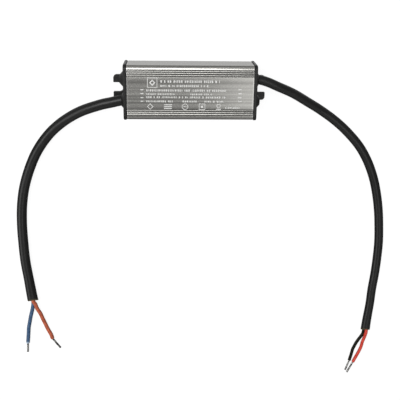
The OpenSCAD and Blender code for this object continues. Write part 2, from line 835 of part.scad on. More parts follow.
module input_brown_strands() {
    color([0.75, 0.75, 0.75]) strands(brown_points, input_strand_d);
}

module input_blue_strands() {
    color([0.75, 0.75, 0.75]) strands(blue_points, input_strand_d);
}

module output_black_strands() {
    color([0.75, 0.75, 0.75]) strands(black_points, output_strand_d);
}

module output_red_strands() {
    color([0.75, 0.75, 0.75]) strands(red_points, output_strand_d);
}

housing();
input_cap();
output_cap();
input_gasket();
output_gasket();
insulating_liner();
thermal_pad();
circuit_board();
solder_joints();
fuse();
varistor();
suppression_capacitor();
choke_core();
choke_winding();
bridge_rectifier();
bulk_capacitor();
controller_chip();
chip_components();
power_transistor();
transformer_core();
transformer_bobbin();
transformer_winding();
safety_capacitor();
snubber_capacitor();
output_diode();
output_capacitors();
resistors();
input_lead_entry();
output_lead_entry();
input_tie();
output_tie();
input_brown_inner_wire();
input_blue_inner_wire();
output_black_inner_wire();
output_red_inner_wire();
input_lead();
input_brown_core();
input_blue_core();
input_brown_strands();
input_blue_strands();
output_lead();
output_black_core();
output_red_core();
output_black_strands();
output_red_strands();
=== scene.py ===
import json
import math

import bmesh
import bpy
import numpy as np
from mathutils import Matrix, Vector


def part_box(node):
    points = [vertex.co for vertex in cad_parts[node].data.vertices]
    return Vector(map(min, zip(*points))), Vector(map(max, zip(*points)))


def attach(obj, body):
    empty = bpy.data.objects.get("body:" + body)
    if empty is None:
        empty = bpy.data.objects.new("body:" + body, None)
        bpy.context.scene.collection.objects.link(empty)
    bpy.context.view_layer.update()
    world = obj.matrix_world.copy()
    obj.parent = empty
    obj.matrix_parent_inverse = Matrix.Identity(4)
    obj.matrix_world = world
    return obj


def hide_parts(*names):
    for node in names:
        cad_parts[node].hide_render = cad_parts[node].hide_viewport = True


# A small waterproof power supply, lying on its back with both leads spread on the floor.
# Metres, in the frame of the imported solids: +X towards the output end, +Z out of the printed face.

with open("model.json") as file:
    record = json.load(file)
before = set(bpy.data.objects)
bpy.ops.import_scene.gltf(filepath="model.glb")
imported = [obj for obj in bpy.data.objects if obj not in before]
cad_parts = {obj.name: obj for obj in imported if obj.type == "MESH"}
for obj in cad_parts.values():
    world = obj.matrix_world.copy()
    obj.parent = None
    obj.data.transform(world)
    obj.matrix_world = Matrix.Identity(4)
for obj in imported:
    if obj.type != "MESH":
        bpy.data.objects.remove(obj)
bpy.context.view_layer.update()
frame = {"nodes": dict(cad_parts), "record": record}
BODY = "root"

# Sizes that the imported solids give
shell_low, shell_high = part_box("housing")
cap_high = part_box("input_cap")[1]
gasket_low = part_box("input_gasket")[0]
MIDDLE_Z = (shell_low.z + shell_high.z) / 2
FACE_Z = shell_high.z
SHELL_L = shell_high.x - shell_low.x
SHELL_W = shell_high.y - shell_low.y
SHELL_H = shell_high.z - shell_low.z

# The extrusion's section
SHELL_R = 0.0026
SHELL_WALL = 0.0017
FIELD_W = 0.0203
GROOVE_PITCH = 0.0013
GROOVE_R = 0.00035
GROOVE_DEPTHS = (0.00022, 0.00022, 0.00019, 0.00024)
# The side of the first groove that faces the field is this many times as wide as the groove is deep
FIELD_EDGE = 1.35
# The grooved part ends this far before the rounded corner starts
CORNER_GAP = 0.00001
RIB_W = 0.0012
RIB_T = 0.0009
RIB_LEVELS = (0.0042, 0.0070)
END_CHAMFER = 0.00012

# The caps
CAP_L = 0.085
CAP_W = 0.0355
CAP_H = 0.026
CAP_R = 0.003
CAP_T = 0.0016
CAP_EDGE_R = 0.0007
CAP_INNER_EDGE = 0.0001
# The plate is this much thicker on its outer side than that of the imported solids
PLATE_SWELL = 0.00022
COLLAR_WALL = 0.0014
COLLAR_PLAY = 0.00015
# How far the collar starts inside the plate, how far cuts reach past what they cut, and how far behind
# the plate the notches start
COLLAR_ROOT = 0.0003
CUT_PAST = 0.001
NOTCH_START = 0.0002
BOSS_Y = 0.007
BOSS_R = 0.0058
BOSS_TIP_R = 0.0026
BOSS_H = 0.0032
BOSS_EDGE_R = 0.0004
GLAND_H = 0.002
GLAND_EDGE_R = 0.00015
GLAND_PLAY = 0.0001
# The middle of a boss's rounded edge lies in from the end of its cone by this share of the edge's radius
EDGE_IN = 0.41
# The hollow curve by which a boss grows out of its plate: height from the plate, out from BOSS_R
FOOT_CURVE = (
    (-0.00003, 0.00034), (0.00005, 0.00012), (0.00015, -0.00006), (0.0003, -0.00026), (0.0005, -0.00049),
)
EAR_L = 0.008
EAR_W = 0.0164
EAR_T = 0.003
EAR_R = 0.0022
EAR_TIP_R = 0.0004
EAR_EDGE_R = 0.0003
EAR_FOOT_EDGE = 0.00012
SLOT_R = 0.0031
SLOT_ROOT = 0.0011

# The leads' diameters, where they leave the caps, and their routes as offsets from there, with each
# height given above the height at which the lead rests on the floor
INPUT_D = 0.0070
OUTPUT_D = 0.0062
INPUT_EXIT = (-0.0445, -0.0070, 0.0130)
OUTPUT_EXIT = (0.0445, 0.0070, 0.0130)
INPUT_ROUTE = [
    (-0.0070, -0.0015, 0.0094), (-0.0150, -0.0035, 0.0085), (-0.0280, -0.0085, 0.0055),
    (-0.0400, -0.0160, 0.0020), (-0.0500, -0.0250, 0.0002), (-0.0585, -0.0365, 0.0000),
    (-0.0645, -0.0490, 0.0000), (-0.0690, -0.0625, 0.0000), (-0.0715, -0.0760, 0.0000),
    (-0.0725, -0.0900, 0.0000), (-0.0725, -0.1040, 0.0000), (-0.0720, -0.1180, 0.0000),
    (-0.0705, -0.1320, 0.0000), (-0.0690, -0.1460, 0.0000), (-0.0685, -0.1495, 0.0000),
]
OUTPUT_ROUTE = [
    (0.0060, -0.0015, 0.0098), (0.0130, -0.0045, 0.0091), (0.0240, -0.0095, 0.0065),
    (0.0350, -0.0160, 0.0033), (0.0455, -0.0225, 0.0008), (0.0560, -0.0300, 0.0000),
    (0.0650, -0.0380, 0.0000), (0.0735, -0.0475, 0.0000), (0.0800, -0.0580, 0.0000),
    (0.0850, -0.0695, 0.0000), (0.0885, -0.0815, 0.0000), (0.0910, -0.0940, 0.0000),
    (0.0925, -0.1060, 0.0000), (0.0935, -0.1185, 0.0000), (0.0935, -0.1310, 0.0000),
    (0.0930, -0.1435, 0.0000), (0.0920, -0.1560, 0.0000), (0.0915, -0.1685, 0.0000),
    (0.0905, -0.1810, 0.0000), (0.0900, -0.1900, 0.0000),
]

# The cores' routes as offsets from the jacket's end, with each height above the core's resting height;
# the last point of each is the tip of its strands
BROWN_ROUTE = [
    (0.0015, -0.0020, 0.0031), (0.0025, -0.0060, 0.0025), (0.0045, -0.0105, 0.0018),
    (0.0060, -0.0155, 0.0011), (0.0075, -0.0200, 0.0005), (0.0090, -0.0245, 0.0001),
    (0.0110, -0.0290, 0.0000), (0.0120, -0.0325, 0.0000), (0.0175, -0.0405, 0.0000),
]
BLUE_ROUTE = [
    (-0.0005, -0.0040, 0.0007), (-0.0015, -0.0085, 0.0005), (-0.0030, -0.0140, 0.0002),
    (-0.0040, -0.0185, 0.0000), (-0.0050, -0.0230, 0.0000), (-0.0055, -0.0275, 0.0000),
    (-0.0060, -0.0320, 0.0000), (-0.0065, -0.0360, 0.0000), (-0.0070, -0.0435, 0.0000),
]
BLACK_ROUTE = [
    (-0.0010, -0.0035, 0.0006), (-0.0020, -0.0060, 0.0004), (-0.0040, -0.0095, 0.0002),
    (-0.0055, -0.0125, 0.0000), (-0.0065, -0.0150, 0.0000), (-0.0075, -0.0175, 0.0000),
    (-0.0080, -0.0200, 0.0000), (-0.0085, -0.0230, 0.0000), (-0.0095, -0.0275, 0.0000),
    (-0.0120, -0.0360, 0.0000),
]
RED_ROUTE = [
    (0.0005, -0.0025, 0.0030), (0.0000, -0.0060, 0.0022), (-0.0010, -0.0105, 0.0015),
    (-0.0015, -0.0150, 0.0008), (-0.0025, -0.0190, 0.0003), (-0.0040, -0.0230, 0.0000),
    (-0.0055, -0.0265, 0.0000), (-0.0065, -0.0290, 0.0000), (-0.0105, -0.0380, 0.0000),
]
# By end: use, exit, way out and route of the lead, diameters of the lead, its cores and their strands,
# how far the pair of cores is turned out of level, and the cores' routes, the upper core first
LEADS = {
    "input": (
        "mains", INPUT_EXIT, (-1, 0, 0), INPUT_ROUTE, (INPUT_D, 0.0028, 0.0015), math.radians(75),
        {"brown": BROWN_ROUTE, "blue": BLUE_ROUTE},
    ),
    "output": (
        "lamp", OUTPUT_EXIT, (1, 0, 0), OUTPUT_ROUTE, (OUTPUT_D, 0.0024, 0.0014), math.radians(55),
        {"red": RED_ROUTE, "black": BLACK_ROUTE},
    ),
}
# The room between a lead's two cores, and how far they reach in
CORE_GAP = 0.0001
CORE_INSIDE = 0.0075
# A lead's cut end leans back towards its top, and the jacket widens a little on its way there
CUT_LEAN, LEAN_REACH = 0.5, 0.006
CUT_FLARE, FLARE_REACH = 0.10, 0.018
# How far the cut's colour reaches back from each end, and how finely the skins are built
JACKET_RIM = 0.0012
CORE_RIMS = {"brown": 0.0004, "blue": 0.0013, "red": 0.0004, "black": 0.0004}
LEAD_SIDES, LEAD_STEP = 40, 0.0016
CORE_SIDES, CORE_STEP = 24, 0.0011
# The rounded lips of the cut ends: back from the end, and in from the skin
JACKET_LIP = ((0.00012, 0.00004), (0.0, 0.00016))
CORE_LIP = ((0.00005, 0.00005), (0.0, 0.00015))
# The edge of the jacket's hollow end, and how much deeper it is than the cores reach
HOLLOW_EDGE, HOLLOW_SPARE = 0.0001, 0.001
# A core's end face dips towards its strands: back from the end, and the share of the radius left there
CORE_DIP = (0.0002, 0.62)
# Each core's colour from dark to light, its torn edge's colour from dark to light, and its gloss
CORE_LOOKS = {
    "brown": ((0.34, 0.072, 0.030), (0.50, 0.120, 0.060), (0.25, 0.09, 0.06), (0.45, 0.20, 0.14), 0.4),
    "blue": ((0.028, 0.066, 0.135), (0.048, 0.105, 0.200), (0.20, 0.28, 0.38), (0.45, 0.52, 0.60), 0.4),
    "red": ((0.48, 0.034, 0.020), (0.62, 0.062, 0.036), (0.35, 0.05, 0.04), (0.60, 0.14, 0.10), 0.4),
    "black": ((0.005, 0.0045, 0.002), (0.010, 0.009, 0.004), (0.02, 0.02, 0.015), (0.07, 0.06, 0.05), 0.12),
}


# Nodes, for finishes, shapes and light alike

def add_node(tree, kind, links=(), **settings):
    """A new node; links gives its sockets' values, or the sockets that feed them."""
    node = tree.nodes.new(kind)
    for key, value in settings.items():
        setattr(node, key, value)
    for socket, source in dict(links).items():
        if isinstance(source, bpy.types.NodeSocket):
            tree.links.new(source, node.inputs[socket])
        else:
            node.inputs[socket].default_value = source
    return node


def between(tree, value, start, stop, at_start, at_stop):
    """A number that goes from at_start to at_stop while the value goes from start to stop."""
    return add_node(tree, "ShaderNodeMapRange", {
        "Value": value, "From Min": start, "From Max": stop, "To Min": at_start, "To Max": at_stop,
    }).outputs["Result"]


# Colours and finishes

class Finish:
    """One material, and short ways to add the nodes that give it its look."""

    def __init__(self, name, **fixed):
        self.material = bpy.data.materials.new(name)
        self.material.use_nodes = True
        self.tree = self.material.node_tree
        self.shader = self.tree.nodes["Principled BSDF"]
        for socket, value in fixed.items():
            self.shader.inputs[socket.replace("_", " ").title().replace("Ior", "IOR")].default_value = value

    def add(self, kind, links=(), **settings):
        return add_node(self.tree, kind, links, **settings)

    def place(self, stretch=(1, 1, 1), kind="Object"):
        """The point on the piece, in metres, with each direction scaled."""
        point = self.add("ShaderNodeTexCoord").outputs[kind]
        return self.add("ShaderNodeMapping", {"Vector": point, "Scale": stretch}).outputs["Vector"]

    def along(self, stretch):
        """The point on a cord's unwrapped skin, along it and round it, with each direction scaled."""
        return self.place(stretch, "UV")

    def noise(self, where, scale=1.0, detail=3.0):
        settings = {"Vector": where, "Scale": scale, "Detail": detail}
        return self.add("ShaderNodeTexNoise", settings).outputs["Fac"]

    def pattern(self, scale, detail=3.0):
        """A cloudy pattern fixed to the piece, finer with a larger scale."""
        return self.noise(self.place(), scale, detail)

    def spread(self, value, low, high, start=0.3, stop=0.7):
        """Turns the part of a pattern from start to stop into a number from low to high."""
        return between(self.tree, value, start, stop, low, high)

    def both(self, first, second, operation="MULTIPLY"):
        return self.add("ShaderNodeMath", {0: first, 1: second}, operation=operation).outputs[0]

    def off_middle(self, number):
        """A number without its sign."""
        return self.add("ShaderNodeMath", {0: number}, operation="ABSOLUTE").outputs[0]

    def blend(self, amount, first, second):
        """The first colour where the amount is 0, the second where it is 1; each is plain or a pattern."""
        mix = {"Factor": amount}
        for side, source in (("A", first), ("B", second)):
            mix[side] = source if isinstance(source, bpy.types.NodeSocket) else (*source, 1)
        return self.add("ShaderNodeMix", mix, data_type="RGBA").outputs["Result"]

    def colour(self, source):
        self.tree.links.new(source, self.shader.inputs["Base Color"])

    def roughness(self, source):
        self.tree.links.new(source, self.shader.inputs["Roughness"])

    def bump(self, height, depth, strength):
        bump = self.add("ShaderNodeBump", {"Height": height, "Distance": depth, "Strength": strength})
        self.tree.links.new(bump.outputs["Normal"], self.shader.inputs["Normal"])


# Where the grooves are dull and darkened with painted shade: by their depth under the face, and no further
# out than the flat part
DULL_AND_SHADED_DEPTHS = (0.00008, 0.00016)
DULL_AND_SHADED_EDGE = 0.0001
# The lighter metal near each end, from where it is full to where it is gone
LIGHTER_END_REACH = (0.0004, 0.0009)


def brushed_aluminium():
    """Bare extrusion, brushed along its length; the grooves are dull and darkened with painted shade, and
    the metal is lighter near its ends.
    """
    finish = Finish("brushed_aluminium", metallic=1.0, anisotropic=0.5)
    lines = finish.noise(finish.place((1.4, 1150, 1150)), detail=1.5)
    bands = finish.noise(finish.place((1.2, 240, 240)), detail=1.0)
    fine = finish.noise(finish.place((8, 6000, 6000)), detail=0.0)
    streaks = finish.spread(finish.both(lines, bands, "ADD"), 0, 1, 0.72, 1.28)
    metal = finish.blend(streaks, (0.270, 0.266, 0.251), (0.455, 0.449, 0.426))
    x, y, z = finish.add("ShaderNodeSeparateXYZ", {0: finish.place()}).outputs
    # Masks for the grooves, where painted shade darkens the colour and the roughness is raised
    sunk = finish.spread(z, 1, 0, FACE_Z - DULL_AND_SHADED_DEPTHS[1], FACE_Z - DULL_AND_SHADED_DEPTHS[0])
    flat_edge = SHELL_W / 2 - SHELL_R
    groove = finish.both(sunk, finish.spread(finish.off_middle(y), 1, 0, flat_edge - DULL_AND_SHADED_EDGE, flat_edge))
    end = SHELL_L / 2
    near_end = finish.spread(finish.off_middle(x), 0, 1, end - LIGHTER_END_REACH[1], end - LIGHTER_END_REACH[0])
    bright = finish.blend(near_end, metal, (0.52, 0.515, 0.495))
    # The colour goes towards near-black inside the grooves: painted shade in the recesses
    finish.colour(finish.blend(groove, bright, (0.06, 0.06, 0.057)))
    finish.roughness(finish.both(finish.spread(lines, 0.18, 0.25), finish.both(groove, 0.3), "ADD"))
    across = finish.add("ShaderNodeTangent", direction_type="RADIAL", axis="X")
    finish.tree.links.new(across.outputs["Tangent"], finish.shader.inputs["Tangent"])
    finish.bump(finish.both(fine, lines, "ADD"), 0.000005, 0.5)
    return finish.material


def black_nylon():
    """Moulded caps: deep grey, finely grained, a little shinier where they were handled."""
    finish = Finish("black_nylon", specular_ior_level=0.28)
    grain = finish.pattern(5200, 2.0)
    cloud = finish.pattern(160)
    finish.colour(finish.blend(cloud, (0.007, 0.007, 0.0066), (0.013, 0.013, 0.0122)))
    finish.roughness(finish.spread(cloud, 0.32, 0.44))
    finish.bump(grain, 0.00004, 0.35)
    return finish.material


def lead_jacket():
    """Extruded rubber-like jacket with faint lines along it."""
    finish = Finish("lead_jacket", specular_ior_level=0.34)
    drawn = finish.noise(finish.along((25, 1400, 1)), detail=2.0)
    cloud = finish.pattern(90)
    grain = finish.pattern(3800, 2.0)
    finish.colour(finish.blend(cloud, (0.005, 0.005, 0.005), (0.010, 0.010, 0.0095)))
    finish.roughness(finish.spread(cloud, 0.28, 0.38))
    finish.bump(finish.both(drawn, grain, "ADD"), 0.00003, 0.4)
    return finish.material


def torn_edge(name, dark, light, scale=3200, rough=(0.5, 0.7), depth=0.00005, strength=0.5):
    """Where a jacket was cut or insulation stripped: duller than its skin, and of another colour."""
    finish = Finish(name)
    torn = finish.pattern(scale)
    finish.colour(finish.blend(torn, dark, light))
    finish.roughness(finish.spread(torn, *rough))
    finish.bump(torn, depth, strength)
    return finish.material


def insulation(name, dark, light, specular):
    """Coloured core insulation: satin, with slight clouding and drawn lines."""
    finish = Finish(name, specular_ior_level=specular)
    cloud = finish.pattern(420)
    drawn = finish.noise(finish.along((60, 2600, 1)), detail=2.0)
    finish.colour(finish.blend(finish.spread(cloud, 0, 1), dark, light))
    finish.roughness(finish.spread(drawn, 0.24, 0.34))
    finish.bump(drawn, 0.00002, 0.35)
    return finish.material


def tinned_copper():
    """Solder-dipped strands: silver grey, dark where the solder didn't take."""
    finish = Finish("tinned_copper", metallic=1.0)
    cloud = finish.pattern(1500)
    patches = finish.pattern(520, 1.0)
    tinned = finish.blend(finish.spread(cloud, 0, 1), (0.34, 0.34, 0.33), (0.62, 0.61, 0.59))
    finish.colour(finish.blend(finish.spread(patches, 0, 1, 0.50, 0.60), tinned, (0.09, 0.09, 0.088)))
    finish.roughness(finish.spread(cloud, 0.25, 0.45))
    finish.bump(cloud, 0.00004, 0.5)
    return finish.material


def white_ink():
    """Printed marks: dense near-white ink, thin at places."""
    finish = Finish("white_ink")
    thin = finish.pattern(2200)
    finish.colour(finish.blend(finish.spread(thin, 0, 1), (0.50, 0.50, 0.49), (0.70, 0.70, 0.68)))
    finish.roughness(finish.spread(thin, 0.45, 0.6))
    finish.bump(thin, 0.000006, 0.5)
    return finish.material


def plain(name, dark, light, rough, scale=400, depth=0.00003, metallic=0.0):
    """A moulded, dipped, taped or sintered surface of a part inside: clouded colour and a fine grain."""
    finish = Finish(name, metallic=metallic)
    cloud = finish.pattern(scale)
    grain = finish.pattern(scale * 9, 2.0)
    finish.colour(finish.blend(finish.spread(cloud, 0, 1), dark, light))
    finish.roughness(finish.spread(cloud, *rough))
    finish.bump(grain, depth, 0.4)
    return finish.material


# Pieces and their meshes

def add_piece(name, data):
    piece = bpy.data.objects.new(name, data)
    bpy.context.scene.collection.objects.link(piece)
    return piece


def face_outwards(mesh):
    """Joins points that share a place, and turns all faces outwards."""
    shape = bmesh.new()
    shape.from_mesh(mesh)
    bmesh.ops.remove_doubles(shape, verts=shape.verts, dist=1e-7)
    bmesh.ops.recalc_face_normals(shape, faces=shape.faces)
    shape.to_mesh(mesh)
    shape.free()


def stand_for(piece, node):
    """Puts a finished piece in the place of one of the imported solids."""
    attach(piece, BODY)
    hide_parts(node)


def settle(piece):
    """Turns a piece's modifiers into its plain mesh."""
    view = bpy.context.evaluated_depsgraph_get()
    done = bpy.data.meshes.new_from_object(piece.evaluated_get(view))
    old = piece.data
    piece.modifiers.clear()
    piece.data = done
    bpy.data.meshes.remove(old)


def smooth(piece, sharp_from):
    """Rounded faces shade smoothly, flat ones stay flat, and edges past the given angle stay sharp."""
    piece.data.shade_smooth()
    piece.data.set_sharp_from_angle(angle=math.radians(sharp_from))
    weights = piece.modifiers.new("weights", "WEIGHTED_NORMAL")
    weights.keep_sharp = True
    settle(piece)


def loft(name, loops, closed_ring=False):
    """A skin through loops of points, closed at both ends or, as a ring, back to the first loop."""
    count = len(loops[0])
    verts = [tuple(point) for loop in loops for point in loop]
    faces = []
    rows = len(loops) if closed_ring else len(loops) - 1
    for row in range(rows):
        here = row * count
        there = (row + 1) % len(loops) * count
        for i in range(count):
            j = (i + 1) % count
            faces.append((here + i, here + j, there + j, there + i))
    if not closed_ring:
        faces.append(tuple(range(count)))
        faces.append(tuple(range(len(verts) - count, len(verts))))
    mesh = bpy.data.meshes.new(name)
    mesh.from_pydata(verts, [], faces)
    face_outwards(mesh)
    return add_piece(name, mesh)


def combine(piece, operation, tools):
    """Adds the tools to a piece, or cuts them out of it."""
    for tool in tools:
        step = piece.modifiers.new("combine", "BOOLEAN")
        step.operation = operation
        step.solver = "EXACT"
        step.object = tool
        settle(piece)
        bpy.data.objects.remove(tool)


def arc(centre, radius, start, stop, steps):
    """Points on an arc, from the start angle to the stop angle, in degrees."""
    return [
        (
            centre[0] + radius * math.cos(math.radians(start + (stop - start) * i / steps)),
            centre[1] + radius * math.sin(math.radians(start + (stop - start) * i / steps)),
        )
        for i in range(steps + 1)
    ]


def rectangle(x, y, half_w, half_h):
    """The corners of a rectangle about a point, anticlockwise."""
    left, right, low, high = x - half_w, x + half_w, y - half_h, y + half_h
    return [(left, low), (right, low), (right, high), (left, high)]


# The sides on which a rectangle's corners lie, by the angle at which each corner's arc starts
CORNERS = {0: (1, 1), 90: (-1, 1), 180: (-1, -1), 270: (1, -1)}


def corner(width, height, radius, start, steps):
    """The arc round one corner of a rounded rectangle."""
    side_x, side_y = CORNERS[start]
    centre = (side_x * (width / 2 - radius), side_y * (height / 2 - radius))
    return arc(centre, radius, start, start + 90, steps)


def rounded_outline(width, height, radius, steps=10):
    """Points round a rounded rectangle, anticlockwise."""
    return [point for start in CORNERS for point in corner(width, height, radius, start, steps)]


# The camera

CAMERA_AT = Vector((-0.01278, 0.07842, 0.46858))
CAMERA_TURN = (math.radians(-18.72), math.radians(-2.31), math.radians(0.72))
CAMERA_LENS = 63.0
CAMERA_SENSOR = 36.0


def camera():
    """Looks down from above the body, tipped so that its +Y side just shows."""
    data = bpy.data.cameras.new("camera")
    data.lens = CAMERA_LENS
    data.sensor_width = CAMERA_SENSOR
    data.sensor_fit = "HORIZONTAL"
    piece = add_piece("camera", data)
    tip, swing, roll = CAMERA_TURN
    turn = Matrix.Rotation(roll, 4, "Z") @ Matrix.Rotation(swing, 4, "Y") @ Matrix.Rotation(tip, 4, "X")
    piece.matrix_world = Matrix.Translation(CAMERA_AT) @ turn
    bpy.context.scene.camera = piece


# The leads and their cores

def unit(vector):
    return np.array(vector, float) / np.linalg.norm(vector)


def left_of(way):
    """The level direction to the left of a way."""
    return unit(np.cross((0, 0, 1), way))


def route_points(start, route, radius):
    """A route's points, sideways from its start and up from the height at which the cord rests."""
    return [np.array((start[0] + x, start[1] + y, radius + height)) for x, y, height in route]


def smooth_line(points, first_way, steps=12):
    """One smooth curve through the chosen points, leaving the first of them along first_way."""
    points = np.array(points, float)
    before = points[0] - np.linalg.norm(points[1] - points[0]) * unit(first_way)
    after = 2 * points[-1] - points[-2]
    knots = np.vstack([before, points, after])
    t = np.arange(steps)[:, None] / steps
    spans = []
    for a, b, c, d in zip(knots[:-3], knots[1:-2], knots[2:-1], knots[3:]):
        bend = 2 * a - 5 * b + 4 * c - d
        twist = 3 * b - a - 3 * c + d
        spans.append(0.5 * (2 * b + (c - a) * t + bend * t**2 + twist * t**3))
    curve = np.vstack(spans + [points[-1:]])
    curve[:, 2] = np.maximum(curve[:, 2], points[:, 2].min())
    return curve


class Line:
    """A curve with distances along it, and two directions across it that don't twist."""

    def __init__(self, points):
        self.points = np.array(points)
        steps = np.linalg.norm(np.diff(self.points, axis=0), axis=1)
        self.distance = np.concatenate([[0], np.cumsum(steps)])
        self.length = self.distance[-1]
        ways = np.gradient(self.points, axis=0)
        self.ways = ways / np.linalg.norm(ways, axis=1)[:, None]
        side = left_of(self.ways[0])
        sides = []
        for way in self.ways:
            side = unit(side - way * np.dot(side, way))
            sides.append(side)
        self.sides = np.array(sides)

    def at(self, distance):
        def read(rows):
            return np.array([np.interp(distance, self.distance, rows[:, i]) for i in range(3)])

        way = unit(read(self.ways))
        side = unit(read(self.sides) - way * np.dot(read(self.sides), way))
        return read(self.points), side, np.cross(way, side)


def ring_at(line, distance, radius, angles, lean, flare):
    """One ring of a cord's skin; near the far end it can lean back at its top, and widen sideways."""
    centre, side, up = line.at(distance)
    way = np.cross(side, up)
    level = left_of(way)
    left = line.length - distance
    back = lean * max(0.0, 1 - left / LEAN_REACH)
    wide = flare * max(0.0, 1 - left / FLARE_REACH)
    ring = []
    for a in angles:
        off = radius * (math.cos(a) * side + math.sin(a) * up)
        ring.append(centre + off + wide * np.dot(off, level) * level - back * off[2] * way)
    return ring


def sweep(name, line, stations, sides, materials, lean=0.0, flare=0.0):
    """A closed round skin along a line; a station is (distance, radius, material of what follows it)."""
    angles = [2 * math.pi * i / sides for i in range(sides)]
    verts, faces, slots, unwrap = [], [], [], []
    walked = 0.0
    walks = []
    for k, (distance, radius, _) in enumerate(stations):
        verts += ring_at(line, distance, radius, angles, lean, flare)
        if k:
            walked += math.hypot(distance - stations[k - 1][0], radius - stations[k - 1][1])
        walks.append(walked)
    rim = 2 * math.pi * max(radius for _, radius, _ in stations)
    for k in range(len(stations) - 1):
        for i in range(sides):
            j = (i + 1) % sides
            faces.append((k * sides + i, k * sides + j, (k + 1) * sides + j, (k + 1) * sides + i))
            slots.append(stations[k][2])
            left, right = rim * i / sides, rim * (i + 1) / sides
            unwrap += [(walks[k], left), (walks[k], right), (walks[k + 1], right), (walks[k + 1], left)]
    for k, flip in ((0, True), (len(stations) - 1, False)):
        middle = len(verts)
        verts.append(line.at(stations[k][0])[0])
        for i in range(sides):
            j = (i + 1) % sides
            corners = (k * sides + i, k * sides + j, middle)
            faces.append(corners[::-1] if flip else corners)
            slots.append(stations[k][2])
            unwrap += [(walks[k], 0.0)] * 3
    mesh = bpy.data.meshes.new(name)
    mesh.from_pydata([tuple(v) for v in verts], [], faces)
    layer = mesh.uv_layers.new(name="skin")
    layer.data.foreach_set("uv", [number for pair in unwrap for number in pair])
    mesh.polygons.foreach_set("material_index", slots)
    for material in materials:
        mesh.materials.append(material)
    face_outwards(mesh)
    piece = add_piece(name, mesh)
    mesh.shade_smooth()
    mesh.set_sharp_from_angle(angle=math.radians(40))
    return piece


def skin_stations(length, rim, radius, step, lip):
    """The stations of a plain skin, of its rim in the cut's colour, and of its rounded lip."""
    count = max(2, round((length - rim) / step))
    stations = [((length - rim) * i / count, radius, 0) for i in range(count)]
    stations.append((length - rim, radius, 1))
    return stations + [(length - back, radius - inwards, 1) for back, inwards in lip]


def lead(name, node, exit_point, way, route, diameter, core_d, jacket, cut):
    """A jacketed lead, hollow at its far end where its two cores come out."""
    radius = diameter / 2
    line = Line(smooth_line([exit_point] + route_points(exit_point, route, radius), way))
    hollow = core_d + CORE_GAP
    end = line.length
    stations = skin_stations(end, JACKET_RIM, radius, LEAD_STEP, JACKET_LIP) + [
        (end, hollow + HOLLOW_EDGE, 1),
        (end - HOLLOW_EDGE, hollow, 1),
        (end - CORE_INSIDE - HOLLOW_SPARE, hollow, 1),
    ]
    piece = sweep(name, line, stations, LEAD_SIDES, [jacket, cut], CUT_LEAN, CUT_FLARE)
    stand_for(piece, node)
    return line


def core(colour, node, jacket_line, tilt, sign, route, core_d, strand_d, tree, metal):
    """One insulated core, from inside the jacket's hollow end to where its strands are stripped."""
    dark, light, cut_dark, cut_light, gloss = CORE_LOOKS[colour]
    skin = insulation(f"{colour}_insulation", dark, light, gloss)
    torn = torn_edge(f"{colour}_cut", cut_dark, cut_light)
    end = jacket_line.points[-1]
    way = unit(jacket_line.points[-1] - jacket_line.points[-2])
    off = math.cos(tilt) * left_of(way) + math.sin(tilt) * np.array((0, 0, 1))
    mouth = end + sign * (core_d + CORE_GAP) / 2 * off
    radius = core_d / 2
    *outside, tip = route_points(end, route, radius)
    line = Line(smooth_line([mouth - CORE_INSIDE * way, mouth] + outside, way))
    stations = skin_stations(line.length, CORE_RIMS[colour], radius, CORE_STEP, CORE_LIP)
    stations.append((line.length - CORE_DIP[0], radius * CORE_DIP[1], 1))
    piece = sweep(f"{colour}_wire", line, stations, CORE_SIDES, [skin, torn])
    stand_for(piece, f"{node}_core")
    bundle = wire_end(f"{colour}_wire_end", f"{node}_strands", strand_d, tree, metal, line.points[-1], tip)


# Stranded wire ends, made by nodes

WIRES = 11
# A wire's radius as a share of the bundle's diameter, how far the strands start inside, and their twist
WIRE_SHARE = 0.11
STRAND_ROOT = 0.0006
STRAND_TURNS = 0.75
# In wire radii: how far the wires' middles lie in from the bundle's outside at the root and at the tip,
# and how far a wire sinks into the filling
ROOT_IN, TIP_IN, WIRE_SINK = 1.1, 0.8, 0.6


def tree_input(tree, name, kind, value=None):
    socket = tree.interface.new_socket(name, in_out="INPUT", socket_type=kind)
    if value is not None:
        socket.default_value = value


def run_tree(piece, tree, **values):
    """Runs a node tree on a piece with the given named inputs, and keeps the result as its plain mesh."""
    step = piece.modifiers.new(tree.name, "NODES")
    step.node_group = tree
    for item in tree.interface.items_tree:
        key = item.name.lower().replace(" ", "_")
        if item.in_out == "INPUT" and key in values:
            step[item.identifier] = values[key]
    settle(piece)


